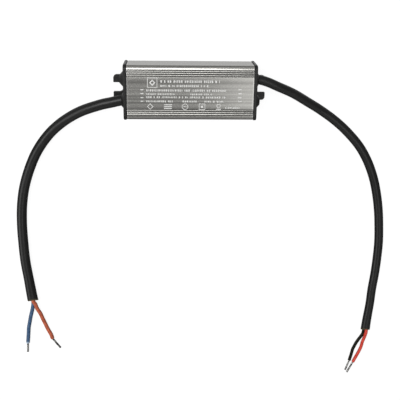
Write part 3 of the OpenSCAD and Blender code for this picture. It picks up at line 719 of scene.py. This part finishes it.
class Tree:
    """A geometry node tree, and short ways to add to it."""

    def __init__(self, name, **inputs):
        self.tree = bpy.data.node_groups.new(name, "GeometryNodeTree")
        tree_input(self.tree, "Geometry", "NodeSocketGeometry")
        for key, value in inputs.items():
            kind = "NodeSocketInt" if isinstance(value, int) else "NodeSocketFloat"
            tree_input(self.tree, key.replace("_", " ").capitalize(), kind, value)
        tree_input(self.tree, "Material", "NodeSocketMaterial")
        self.tree.interface.new_socket("Geometry", in_out="OUTPUT", socket_type="NodeSocketGeometry")
        self.given = self.tree.nodes.new("NodeGroupInput").outputs
        self.result = self.tree.nodes.new("NodeGroupOutput").inputs[0]

    def add(self, kind, links=(), **settings):
        return add_node(self.tree, kind, links, **settings)

    def get(self, kind, links=(), **settings):
        """The first output of a new node."""
        return self.add(kind, links, **settings).outputs[0]

    def math(self, operation, *sources):
        return self.get("ShaderNodeMath", dict(enumerate(sources)), operation=operation)

    def vector(self, x=0.0, y=0.0, z=0.0):
        return self.get("ShaderNodeCombineXYZ", {"X": x, "Y": y, "Z": z})

    def scaled(self, vector, scale):
        return self.get("ShaderNodeVectorMath", {0: vector, "Scale": scale}, operation="SCALE")

    def join(self, *sources):
        node = self.tree.nodes.new("GeometryNodeJoinGeometry")
        for source in sources:
            self.tree.links.new(source, node.inputs[0])
        return node.outputs[0]

    def close(self, geometry):
        """Ends the tree: instances become real, and everything gets the material."""
        real = self.get("GeometryNodeRealizeInstances", {"Geometry": geometry})
        done = self.get("GeometryNodeSetMaterial", {"Geometry": real, "Material": self.given["Material"]})
        self.tree.links.new(done, self.result)
        return self.tree


def strand_tree():
    """A ring of thin wires, twisted round a straight middle wire, along +Z."""
    t = Tree(
        "twisted_strands", wires=11, wire_radius=0.00014, ring_radius=0.00045, tip_radius=0.00052,
        length=0.008, turns=0.8,
    )
    given = t.given
    spiral = t.get("GeometryNodeCurveSpiral", {
        "Resolution": 22, "Rotations": given["Turns"], "Start Radius": given["Ring radius"],
        "End Radius": given["Tip radius"], "Height": given["Length"],
    })
    spots = t.get("GeometryNodeMeshLine", {"Count": given["Wires"], "Offset": (0, 0, 0)})
    index = t.get("GeometryNodeInputIndex")
    angle = t.math("DIVIDE", t.math("MULTIPLY", index, 2 * math.pi), given["Wires"])
    ring = t.get("GeometryNodeInstanceOnPoints", {
        "Points": spots, "Instance": spiral, "Rotation": t.vector(z=angle),
    })
    wires = t.get("GeometryNodeRealizeInstances", {"Geometry": ring})
    middle = t.get("GeometryNodeCurvePrimitiveLine", {"End": t.vector(z=given["Length"])})
    sunk = t.math("MULTIPLY", given["Wire radius"], WIRE_SINK)
    filling = t.math("SUBTRACT", given["Ring radius"], sunk)
    tubes = []
    for curve, sides, radius in ((wires, 8, given["Wire radius"]), (middle, 16, filling)):
        profile = t.get("GeometryNodeCurvePrimitiveCircle", {"Resolution": sides, "Radius": radius})
        tubes.append(t.get("GeometryNodeCurveToMesh", {
            "Curve": curve, "Profile Curve": profile, "Fill Caps": True,
        }))
    return t.close(t.join(*tubes))


def wire_end(name, node, diameter, tree, metal, start, tip):
    """The stripped and twisted strands on the end of a core."""
    piece = add_piece(name, bpy.data.meshes.new(name))
    wire = diameter * WIRE_SHARE
    way = Vector(tip - start)
    run_tree(
        piece, tree, wires=WIRES, wire_radius=wire, ring_radius=diameter / 2 - wire * ROOT_IN,
        tip_radius=diameter / 2 - wire * TIP_IN, length=way.length + STRAND_ROOT, turns=STRAND_TURNS,
        material=metal,
    )
    turn = way.to_track_quat("Z", "Y").to_matrix().to_4x4()
    piece.data.transform(Matrix.Translation(Vector(start) - STRAND_ROOT * way.normalized()) @ turn)
    face_outwards(piece.data)
    piece.data.shade_smooth()
    piece.data.set_sharp_from_angle(angle=math.radians(50))
    stand_for(piece, node)
    return piece


def leads():
    jacket, metal, tree = lead_jacket(), tinned_copper(), strand_tree()
    cut = torn_edge(
        "jacket_cut", (0.030, 0.024, 0.008), (0.070, 0.056, 0.022), 2600, (0.6, 0.8), 0.00008, 0.6,
    )
    for end, (use, exit_point, way, route, sizes, tilt, cores) in LEADS.items():
        diameter, core_d, strand_d = sizes
        line = lead(
            f"{end}_{use}_lead", f"{end}_lead", exit_point, way, route, diameter, core_d, jacket, cut,
        )
        for sign, (colour, core_route) in zip((1, -1), cores.items()):
            core(
                colour, f"{end}_{colour}", line, tilt, sign, core_route, core_d, strand_d, tree, metal,
            )


# The aluminium extrusion

def groove_depth(y):
    """How deep the face lies at y, with four soft grooves on each side of the field."""
    first = FIELD_W / 2 + GROOVE_R
    flat_half = SHELL_W / 2 - SHELL_R
    depth = 0.0
    for i, deepest in enumerate(GROOVE_DEPTHS):
        off = abs(y) - first - i * GROOVE_PITCH
        reach = GROOVE_PITCH / 2
        if i == 0 and off < 0:
            reach = FIELD_EDGE * deepest
        if i == len(GROOVE_DEPTHS) - 1 and off > 0:
            reach = flat_half - first - i * GROOVE_PITCH
        if abs(off) < reach:
            depth += deepest * (0.5 + 0.5 * math.cos(math.pi * off / reach))
    return depth


def grooved_side(top, side, steps=84):
    """The face's outer part at one side, from +Y to -Y, where it has its grooves."""
    low, high = FIELD_W / 2 - GROOVE_R, SHELL_W / 2 - SHELL_R - CORNER_GAP
    places = [side * (low + (high - low) * i / steps) for i in range(steps + 1)]
    return [(y, top - groove_depth(y)) for y in sorted(places, reverse=True)]


def shell_outline(inset):
    """The outside of the section as (y, height from the middle), grooves included."""
    sizes = (SHELL_W - 2 * inset, SHELL_H - 2 * inset, SHELL_R - inset)
    top = sizes[1] / 2
    outline = corner(*sizes, 0, 14) + grooved_side(top, 1) + grooved_side(top, -1)
    for start in (90, 180, 270):
        outline += corner(*sizes, start, 14)
    return outline


def bore_outline(inset):
    """The inside of the section, with the ribs that hold the board. A positive inset widens it."""
    half_w = SHELL_W / 2 - SHELL_WALL + inset
    half_h = SHELL_H / 2 - SHELL_WALL + inset
    sizes = (2 * half_w, 2 * half_h, SHELL_R - SHELL_WALL + inset)
    tip = half_w - RIB_W
    ribs = []
    for level in RIB_LEVELS:
        low, high = level - MIDDLE_Z + inset, level + RIB_T - MIDDLE_Z - inset
        ribs += [(half_w, low), (tip, low), (tip, high), (half_w, high)]
    outline = corner(*sizes, 0, 6) + corner(*sizes, 90, 6)
    outline += [(-y, z) for y, z in reversed(ribs)]
    return outline + corner(*sizes, 180, 6) + corner(*sizes, 270, 6) + ribs


def section_mesh():
    """Both outlines as loops of edges, each point knowing which way it moves when its end is chamfered."""
    verts, edges, ways = [], [], []
    for outline in (shell_outline, bore_outline):
        full, cut = outline(0.0), outline(END_CHAMFER)
        first = len(verts)
        count = len(full)
        verts += [(y, z, 0.0) for y, z in full]
        edges += [(first + i, first + (i + 1) % count) for i in range(count)]
        ways += [((b[0] - a[0]) / END_CHAMFER, (b[1] - a[1]) / END_CHAMFER, 0.0) for a, b in zip(full, cut)]
    mesh = bpy.data.meshes.new("section")
    mesh.from_pydata(verts, edges, [])
    moves = mesh.attributes.new("chamfer_way", "FLOAT_VECTOR", "POINT")
    moves.data.foreach_set("vector", [number for way in ways for number in way])
    return mesh


def extrusion_tree():
    """Pulls a section out to its length, chamfers both ends and closes them, then lays it along X."""
    t = Tree("extrusion", length=0.08, chamfer=0.0002, height=0.013)
    given = t.given
    way = t.get("GeometryNodeInputNamedAttribute", {"Name": "chamfer_way"}, data_type="FLOAT_VECTOR")
    move = t.scaled(way, given["Chamfer"])
    near = t.get("GeometryNodeSetPosition", {"Geometry": given["Geometry"], "Offset": move})
    back = t.scaled(move, -1.0)
    skin, edge = near, None
    straight = t.math("SUBTRACT", given["Length"], t.math("MULTIPLY", given["Chamfer"], 2.0))
    for distance, sideways in ((given["Chamfer"], back), (straight, None), (given["Chamfer"], move)):
        shift = t.vector(z=distance)
        if sideways is not None:
            shift = t.get("ShaderNodeVectorMath", {0: shift, 1: sideways}, operation="ADD")
        links = {"Mesh": skin, "Offset": shift, "Offset Scale": 1.0}
        if edge is not None:
            links["Selection"] = edge
        pulled = t.add("GeometryNodeExtrudeMesh", links, mode="EDGES")
        skin, edge = pulled.outputs["Mesh"], pulled.outputs["Top"]
    loops = t.get("GeometryNodeMeshToCurve", {"Mesh": near})
    lid = t.get("GeometryNodeFillCurve", {"Curve": loops})
    far = t.get("GeometryNodeTransform", {"Geometry": lid, "Translation": t.vector(z=given["Length"])})
    ends = t.join(skin, lid, far)
    closed = t.get("GeometryNodeMergeByDistance", {"Geometry": ends, "Distance": 1e-6})
    centred = t.get("GeometryNodeTransform", {
        "Geometry": closed, "Translation": t.vector(z=t.math("MULTIPLY", given["Length"], -0.5)),
    })
    laid = t.get("GeometryNodeTransform", {
        "Geometry": centred, "Rotation": (math.pi / 2, 0, math.pi / 2),
        "Translation": t.vector(z=given["Height"]),
    })
    return t.close(laid)


def shell():
    piece = add_piece("aluminium_shell", section_mesh())
    run_tree(
        piece, extrusion_tree(), length=SHELL_L, chamfer=END_CHAMFER, height=MIDDLE_Z,
        material=brushed_aluminium(),
    )
    face_outwards(piece.data)
    smooth(piece, 32)
    stand_for(piece, "housing")


# The moulded end caps

def across_x(outline, x):
    """An outline (y, height from the middle) as points in the plane at x."""
    return [(x, y, MIDDLE_Z + z) for y, z in outline]


def cap_outline(inset):
    return rounded_outline(CAP_W - 2 * inset, CAP_H - 2 * inset, CAP_R - inset)


def cap_plate():
    """The plate, its outer side swollen a little and rounded, its inner edge just broken."""
    outer = -CAP_L / 2 - PLATE_SWELL
    loops = []
    for i in range(7):
        angle = math.radians(90 * i / 6)
        inset = CAP_EDGE_R * (1 - math.sin(angle))
        loops.append(across_x(cap_outline(inset), outer + CAP_EDGE_R * (1 - math.cos(angle))))
    inner = -CAP_L / 2 + CAP_T
    for x, inset in ((inner - CAP_INNER_EDGE, 0.0), (inner, CAP_INNER_EDGE)):
        loops.append(across_x(cap_outline(inset), x))
    return loft("cap_plate", loops)


def circle(x, y, radius):
    """Points round a circle in the plane at x, level with the middle of the body."""
    return across_x([(y + a, b) for a, b in arc((0, 0), radius, 0, 360, 72)[:-1]], x)


def boss(y, profile):
    """A boss turned round its axis; the profile is (height from the plate, radius)."""
    return loft("boss", [circle(-CAP_L / 2 - height, y, radius) for height, radius in profile])


def boss_foot():
    """The hollow curve by which a boss grows out of its plate."""
    foot = [(-CAP_T / 2, BOSS_R + FOOT_CURVE[0][1])]
    return foot + [(PLATE_SWELL + up, BOSS_R + out) for up, out in FOOT_CURVE]


def boss_tip(height, radius, edge):
    """The rounded edge of a boss's flat tip, from half way round it to the tip."""
    middle = radius - edge * EDGE_IN
    profile = []
    for i in range(5):
        turn = math.radians(45 + 45 * i / 4)
        profile.append((height - edge * (1 - math.sin(turn)), middle + edge * math.cos(turn)))
    return profile


def ear_outline(inset):
    """The forked ear seen from above, as (distance out of the plate, y)."""
    root = -CAP_T / 2
    half = EAR_W / 2
    slot = SLOT_R + inset
    tip_r = EAR_TIP_R - inset
    slot_end = SLOT_ROOT + SLOT_R
    outer = (EAR_L - EAR_R, half - EAR_R)
    tip = (EAR_L - EAR_TIP_R, SLOT_R + EAR_TIP_R)
    outline = [(root, inset - half)]
    outline += arc((outer[0], -outer[1]), EAR_R - inset, -90, 0, 8)
    outline += arc((tip[0], -tip[1]), tip_r, 0, 90, 4)
    outline += arc((slot_end, 0), slot, -90, -270, 24)
    outline += arc(tip, tip_r, -90, 0, 4)
    outline += arc(outer, EAR_R - inset, 0, 90, 8)
    outline += [(root, half - inset)]
    return outline


def ear():
    """The forked ear, with every edge rounded a little."""
    loops = []
    levels = [(0.0, EAR_FOOT_EDGE), (EAR_FOOT_EDGE, 0.0)]
    for i in range(5):
        turn = math.radians(90 * i / 4)
        levels.append((EAR_T - EAR_EDGE_R * (1 - math.sin(turn)), EAR_EDGE_R * (1 - math.cos(turn))))
    for z, inset in levels:
        loops.append([(-CAP_L / 2 - out, y, z) for out, y in ear_outline(inset)])
    return loft("ear", loops)


def collar():
    """The collar that reaches into the extrusion."""
    width = SHELL_W - 2 * SHELL_WALL - 2 * COLLAR_PLAY
    height = SHELL_H - 2 * SHELL_WALL - 2 * COLLAR_PLAY
    radius = SHELL_R - SHELL_WALL
    start, stop = -CAP_L / 2 + CAP_T - COLLAR_ROOT, cap_high.x
    outer = rounded_outline(width, height, radius)
    inner = rounded_outline(width - 2 * COLLAR_WALL, height - 2 * COLLAR_WALL, radius)
    return loft("collar", [
        across_x(outer, start), across_x(outer, stop), across_x(inner, stop), across_x(inner, start),
    ], closed_ring=True)


def rib_notch(side):
    """The room that the collar leaves for the extrusion's ribs."""
    clear = COLLAR_PLAY
    middle = side * (SHELL_W / 2 - SHELL_WALL)
    half = RIB_W + clear
    low, high = RIB_LEVELS[0] - clear, RIB_LEVELS[1] + RIB_T + clear
    start, stop = gasket_low.x + NOTCH_START, cap_high.x + CUT_PAST
    corners = [(middle - half, low), (middle + half, low), (middle + half, high), (middle - half, high)]
    return loft("rib_notch", [[(x, y, z) for y, z in corners] for x in (start, stop)])


def lead_bore(diameter):
    ends = (-CAP_L / 2 + CAP_T + CUT_PAST, -CAP_L / 2 - GLAND_H - CUT_PAST)
    return loft("lead_bore", [circle(x, -BOSS_Y, diameter / 2 + GLAND_PLAY) for x in ends])


def end_cap(name, node, lead_d, half_turn, material):
    """One cap; both ends use the same moulding, turned half round for the output."""
    cone_tip = BOSS_R - (BOSS_R - BOSS_TIP_R) / BOSS_H * GLAND_H
    piece = cap_plate()
    piece.name = name
    combine(piece, "UNION", [
        collar(),
        boss(BOSS_Y, boss_foot() + boss_tip(BOSS_H, BOSS_TIP_R, BOSS_EDGE_R)),
        boss(-BOSS_Y, boss_foot() + boss_tip(GLAND_H, cone_tip, GLAND_EDGE_R)),
        ear(),
    ])
    combine(piece, "DIFFERENCE", [lead_bore(lead_d), rib_notch(-1), rib_notch(1)])
    if half_turn:
        piece.data.transform(Matrix.Rotation(math.pi, 4, "Z"))
    piece.data.materials.clear()
    piece.data.materials.append(material)
    face_outwards(piece.data)
    smooth(piece, 28)
    stand_for(piece, node)


def end_caps():
    nylon = black_nylon()
    end_cap("input_end_cap", "input_cap", INPUT_D, False, nylon)
    end_cap("output_end_cap", "output_cap", OUTPUT_D, True, nylon)


# The marks on the face: rows of small blocks and plain signs

INK_LOW = FACE_Z - 0.00003
INK_HIGH = FACE_Z + 0.00002
# Each row: start and stop along X, middle across, height of its blocks, seed
PRINT_ROWS = [
    (-0.0190, 0.0196, 0.0074, 0.0015, 3),
    (-0.0190, 0.0127, 0.0046, 0.0012, 7),
    (-0.0280, 0.0234, 0.00175, 0.0013, 12),
    (-0.0279, -0.0080, -0.00065, 0.0010, 19),
    (0.0000, 0.0144, -0.00065, 0.0010, 23),
    (-0.0280, 0.0230, -0.0026, 0.0011, 29),
    (-0.0280, -0.0105, -0.00525, 0.0011, 31),
    (-0.0050, 0.0050, -0.00525, 0.0011, 37),
    (0.0090, 0.0228, -0.00525, 0.0011, 41),
    (0.0224, 0.0316, -0.0093, 0.0009, 43),
]
# The signs: where their row lies across, how large and how thick they are drawn, and the bars' height
SIGN_Y = -0.0086
SIGN_SIZE = 0.0040
SIGN_LINE = 0.00035
BAR_H = 0.0006
FRAMED_AT, FRAME_SIZE = (-0.0242, 0.0066), 0.0064
END_MARKS_Y = (0.0024, 0.0, -0.0026, -0.0049)


def row_tree():
    """Small blocks of uneven width, set out along X until the row is full."""
    t = Tree(
        "printed_row", start=0.0, stop=0.01, middle=0.0, block_height=0.001, narrowest=0.0003,
        widest=0.0010, gap=0.0005, wide_gap=0.0009, wide_share=0.2, low=0.0, high=0.0001, seed=1,
    )
    given = t.given
    spots = t.get("GeometryNodeMeshLine", {"Count": 60, "Offset": (0, 0, 0)})
    width = t.add("FunctionNodeRandomValue", {
        "Min": given["Narrowest"], "Max": given["Widest"], "Seed": given["Seed"],
    }, data_type="FLOAT").outputs[1]
    wide = t.add("FunctionNodeRandomValue", {
        "Probability": given["Wide share"], "Seed": t.math("ADD", given["Seed"], 100.0),
    }, data_type="BOOLEAN").outputs[3]
    extra = t.math("MULTIPLY", wide, given["Wide gap"])
    step = t.math("ADD", t.math("ADD", width, given["Gap"]), extra)
    walked = t.add("GeometryNodeAccumulateField", {"Value": step}, data_type="FLOAT").outputs["Trailing"]
    left = t.math("ADD", given["Start"], walked)
    right = t.math("ADD", left, width)
    past = {"A": right, "B": given["Stop"]}
    over = t.get("FunctionNodeCompare", past, data_type="FLOAT", operation="GREATER_THAN")
    x = t.math("MULTIPLY", t.math("ADD", left, right), 0.5)
    z = t.math("MULTIPLY", t.math("ADD", given["Low"], given["High"]), 0.5)
    placed = t.get("GeometryNodeSetPosition", {
        "Geometry": spots, "Position": t.vector(x, given["Middle"], z),
    })
    size = t.vector(width, given["Block height"], t.math("SUBTRACT", given["High"], given["Low"]))
    kept = t.add("GeometryNodeCaptureAttribute", {"Geometry": placed})
    for kind, name, source in (("VECTOR", "size", size), ("BOOLEAN", "over", over)):
        kept.capture_items.new(kind, name)
        t.tree.links.new(source, kept.inputs[name])
    kept_points = t.get("GeometryNodeDeleteGeometry", {
        "Geometry": kept.outputs["Geometry"], "Selection": kept.outputs["over"],
    })
    block = t.get("GeometryNodeMeshCube", {"Size": (1, 1, 1)})
    blocks = t.get("GeometryNodeInstanceOnPoints", {
        "Points": kept_points, "Instance": block, "Scale": kept.outputs["size"],
    })
    return t.close(blocks)


def outlined(shape, centre, size, line):
    """A plain sign drawn as one line of even width: a ring, a square or a diamond."""
    corners, first = {"ring": (32, 0), "square": (4, 45), "diamond": (4, 0)}[shape]
    reach = size / 2 * (math.sqrt(2) if shape == "square" else 1)
    inner = reach - line * (math.sqrt(2) if corners == 4 else 1)

    def loop(radius, z):
        return [(x, y, z) for x, y in arc(centre, radius, first, first + 360, corners)[:-1]]

    return loft("sign", [
        loop(reach, INK_LOW), loop(reach, INK_HIGH), loop(inner, INK_HIGH), loop(inner, INK_LOW),
    ], closed_ring=True)


def filled(centre, width, height):
    """A plain filled bar."""
    corners = rectangle(*centre, width / 2, height / 2)
    return loft("bar", [[(x, y, z) for x, y in corners] for z in (INK_LOW, INK_HIGH)])


def signs():
    """The signs under the rows, the framed sign beside them, and the short marks by each end."""
    pieces = []
    for x, shape in ((-0.0256, "diamond"), (-0.0034, "ring"), (0.0075, "square")):
        pieces.append(outlined(shape, (x, SIGN_Y), SIGN_SIZE, SIGN_LINE))
    pieces += [filled((-0.0143, SIGN_Y + off), 0.0050, BAR_H) for off in (-0.0012, 0.0, 0.0012)]
    pieces.append(filled((-0.0034, SIGN_Y), 0.0020, 0.0004))
    pieces.append(filled((0.0075, SIGN_Y), 0.0014, 0.0014))
    pieces.append(filled((0.0181, SIGN_Y - 0.0016), 0.0030, BAR_H))
    pieces.append(outlined("ring", (0.0181, SIGN_Y + 0.0006), 0.0026, SIGN_LINE))
    pieces.append(outlined("square", FRAMED_AT, FRAME_SIZE, SIGN_LINE))
    pieces.append(outlined("diamond", FRAMED_AT, SIGN_SIZE, 2 * SIGN_LINE))
    for y in END_MARKS_Y:
        pieces.append(filled((0.0316, y), 0.0022, BAR_H))
        pieces.append(filled((-0.0308, y - 0.0003), 0.0018, BAR_H))
    return pieces


def print_marks():
    ink = white_ink()
    tree = row_tree()
    pieces = []
    for start, stop, middle, height, seed in PRINT_ROWS:
        row = add_piece("row", bpy.data.meshes.new("row"))
        run_tree(
            row, tree, start=start, stop=stop, middle=middle, block_height=height, low=INK_LOW,
            high=INK_HIGH, seed=seed, material=ink,
        )
        pieces.append(row)
    pieces += signs()
    together = bmesh.new()
    for piece in pieces:
        together.from_mesh(piece.data)
        bpy.data.objects.remove(piece)
    mesh = bpy.data.meshes.new("face_print")
    together.to_mesh(mesh)
    together.free()
    mesh.materials.append(ink)
    mesh.polygons.foreach_set("material_index", [0] * len(mesh.polygons))
    face_outwards(mesh)
    piece = add_piece("face_print", mesh)
    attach(piece, BODY)


# The parts inside, which keep their solids and get their own finishes

# By slot: dark, light and roughness, then pattern scale, bump depth and metallic where they differ
INNER_LOOKS = {
    "gasket_rubber": ((0.010, 0.010, 0.010), (0.022, 0.022, 0.022), (0.6, 0.8)),
    "tie_nylon": ((0.62, 0.62, 0.57), (0.74, 0.74, 0.69), (0.4, 0.5)),
    "board_laminate": ((0.018, 0.105, 0.040), (0.035, 0.165, 0.065), (0.25, 0.4), 260),
    "solder": ((0.50, 0.51, 0.53), (0.68, 0.68, 0.70), (0.2, 0.35), 900, 0.00003, 1.0),
    "liner_sheet": ((0.62, 0.58, 0.43), (0.74, 0.70, 0.54), (0.6, 0.75), 700),
    "thermal_silicone": ((0.40, 0.43, 0.52), (0.48, 0.52, 0.60), (0.7, 0.85), 900),
    "black_epoxy": ((0.018, 0.018, 0.020), (0.032, 0.032, 0.034), (0.5, 0.7), 900),
    "blue_epoxy": ((0.035, 0.095, 0.330), (0.060, 0.140, 0.420), (0.2, 0.35), 500),
    "yellow_case": ((0.58, 0.43, 0.05), (0.70, 0.54, 0.08), (0.3, 0.4), 300),
    "red_film": ((0.30, 0.030, 0.016), (0.40, 0.050, 0.026), (0.25, 0.35)),
    "capacitor_sleeve": ((0.012, 0.030, 0.075), (0.024, 0.050, 0.110), (0.2, 0.3)),
    "ferrite": ((0.022, 0.022, 0.025), (0.042, 0.042, 0.046), (0.6, 0.8), 1200, 0.00006),
    "enamelled_copper": ((0.40, 0.130, 0.040), (0.58, 0.220, 0.080), (0.2, 0.35), 900, 0.00003, 0.8),
    "winding_tape": ((0.58, 0.41, 0.03), (0.70, 0.52, 0.07), (0.25, 0.4), 350),
    "bobbin_moulding": ((0.014, 0.014, 0.014), (0.026, 0.026, 0.026), (0.4, 0.5)),
    "resistor_lacquer": ((0.23, 0.40, 0.50), (0.32, 0.50, 0.60), (0.25, 0.4)),
    "chip_ceramic": ((0.24, 0.15, 0.08), (0.33, 0.21, 0.12), (0.5, 0.65), 1500),
    "brown_insulation": ((0.30, 0.095, 0.055), (0.42, 0.14, 0.085), (0.35, 0.45)),
    "blue_insulation": ((0.045, 0.095, 0.185), (0.075, 0.15, 0.27), (0.35, 0.45)),
    "red_insulation": ((0.50, 0.045, 0.028), (0.66, 0.085, 0.050), (0.35, 0.45)),
    "black_insulation": ((0.014, 0.013, 0.009), (0.026, 0.024, 0.017), (0.35, 0.45)),
    "lead_jacket": ((0.016, 0.016, 0.016), (0.026, 0.026, 0.0255), (0.4, 0.5)),
}


def inner_finishes():
    finishes = {slot: plain(f"inner_{slot}", *look) for slot, look in INNER_LOOKS.items()}
    slots = {part["node"]: part["material_slot"] for part in frame["record"]["subparts"]}
    for name, node in frame["nodes"].items():
        if slots[name] in finishes:
            node.data.materials.clear()
            node.data.materials.append(finishes[slots[name]])


# The floor and the light

FLOOR_HALF = 1.5
FLOOR_LOW = -0.00005
FLOOR_GREY = 0.15
FLOOR_GLOW = 0.90
# How bright the floor's mirror image is beside the body's +Y wall, and how it fades in front and behind:
# the Y where the fade ends, the Y where it starts, and what is left past its end
MIRRORED_GLOW = 0.58
FRONT_FADE = (-0.03, 0.02, 0.0)
BACK_FADE = (0.07, 0.03, 0.06)
# Light of the room, and how bright its mirror image is by the height of the direction, from 0 to 1
ROOM_LIGHT = 0.40
ROOM_RAMP = ((0.05, 0.03), (0.25, 0.85), (0.6, 0.40), (1.0, 0.37))
# The mirrored room darkens towards the body's two ends: from where, to where, and what is left
SIDE_FADE = (0.35, 0.75, 0.45)


def by_ray(tree, camera, mirrored, other):
    """A strength that depends on the ray: from the camera, off gloss or through glass, or any other."""
    path = add_node(tree, "ShaderNodeLightPath").outputs
    gloss = add_node(tree, "ShaderNodeMath", {
        0: path["Is Glossy Ray"], 1: path["Is Transmission Ray"],
    }, operation="MAXIMUM").outputs[0]
    unseen = add_node(tree, "ShaderNodeMix", {"Factor": gloss, "A": other, "B": mirrored}).outputs["Result"]
    return add_node(tree, "ShaderNodeMix", {
        "Factor": path["Is Camera Ray"], "A": unseen, "B": camera,
    }).outputs["Result"]


def floor():
    """A pale floor just under the body; it keeps the shadows, and looks white where nothing shades it."""
    mesh = bpy.data.meshes.new("floor")
    corners = [(x, y, FLOOR_LOW) for x, y in rectangle(0, 0, FLOOR_HALF, FLOOR_HALF)]
    mesh.from_pydata(corners, [], [(0, 1, 2, 3)])
    piece = add_piece("floor", mesh)
    material = bpy.data.materials.new("floor")
    material.use_nodes = True
    tree = material.node_tree
    tree.nodes.clear()
    matt = add_node(tree, "ShaderNodeBsdfDiffuse", {"Color": (FLOOR_GREY, FLOOR_GREY, FLOOR_GREY, 1)})
    place = add_node(tree, "ShaderNodeTexCoord").outputs["Object"]
    y = add_node(tree, "ShaderNodeSeparateXYZ", {0: place}).outputs["Y"]
    front, back = [
        between(tree, y, gone, full, rest, MIRRORED_GLOW) for gone, full, rest in (FRONT_FADE, BACK_FADE)
    ]
    fade = add_node(tree, "ShaderNodeMath", {0: front, 1: back}, operation="MINIMUM").outputs[0]
    glow = add_node(tree, "ShaderNodeEmission", {"Strength": by_ray(tree, FLOOR_GLOW, fade, 0.0)})
    both = add_node(tree, "ShaderNodeAddShader", {0: matt.outputs[0], 1: glow.outputs[0]})
    add_node(tree, "ShaderNodeOutputMaterial", {"Surface": both.outputs[0]})
    mesh.materials.append(material)


def surroundings():
    """A plain grey room, dark at its horizon, and white where the camera sees it."""
    world = bpy.data.worlds.new("room")
    bpy.context.scene.world = world
    world.use_nodes = True
    tree = world.node_tree
    way = add_node(tree, "ShaderNodeTexCoord").outputs["Generated"]
    split = add_node(tree, "ShaderNodeSeparateXYZ", {0: way})
    room = add_node(tree, "ShaderNodeValToRGB", {"Fac": split.outputs["Z"]})
    ramp = room.color_ramp.elements
    while len(ramp) < len(ROOM_RAMP):
        ramp.new(0.5)
    for stop, (height, strength) in zip(ramp, ROOM_RAMP):
        stop.position = height
        stop.color = (strength, strength, strength, 1)
    endways = add_node(tree, "ShaderNodeMath", {0: split.outputs["X"]}, operation="ABSOLUTE").outputs[0]
    start, stop, left = SIDE_FADE
    sides = between(tree, endways, start, stop, 1.0, left)
    mirrored = {0: room.outputs["Color"], 1: sides}
    seen = add_node(tree, "ShaderNodeMath", mirrored, operation="MULTIPLY").outputs[0]
    back = tree.nodes["Background"]
    back.inputs["Color"].default_value = (1, 1, 1, 1)
    tree.links.new(by_ray(tree, 1.0, seen, ROOM_LIGHT), back.inputs["Strength"])


def softbox(name, place, target, width, height, power):
    """A rectangular lamp whose width runs level along X."""
    data = bpy.data.lights.new(name, "AREA")
    data.shape = "RECTANGLE"
    data.size = width
    data.size_y = height
    data.energy = power
    lamp = add_piece(name, data)
    back = (Vector(place) - Vector(target)).normalized()
    along = (Vector((1, 0, 0)) - back * back.x).normalized()
    turn = Matrix((along, back.cross(along), back)).transposed().to_4x4()
    lamp.matrix_world = Matrix.Translation(place) @ turn


def lights():
    softbox("key", (-0.40, 0.44, 1.27), (0, 0, 0), 1.2, 0.74, 12.5)
    softbox("fill", (0.42, -0.30, 1.45), (0, 0, 0), 0.56, 1.2, 2.4)
    softbox("side", (-1.10, -0.30, 0.85), (0, -0.1, 0), 0.65, 1.2, 6)


camera()
leads()
shell()
end_caps()
print_marks()
inner_finishes()
floor()
surroundings()
lights()
bpy.context.scene.view_settings.view_transform = "Standard"
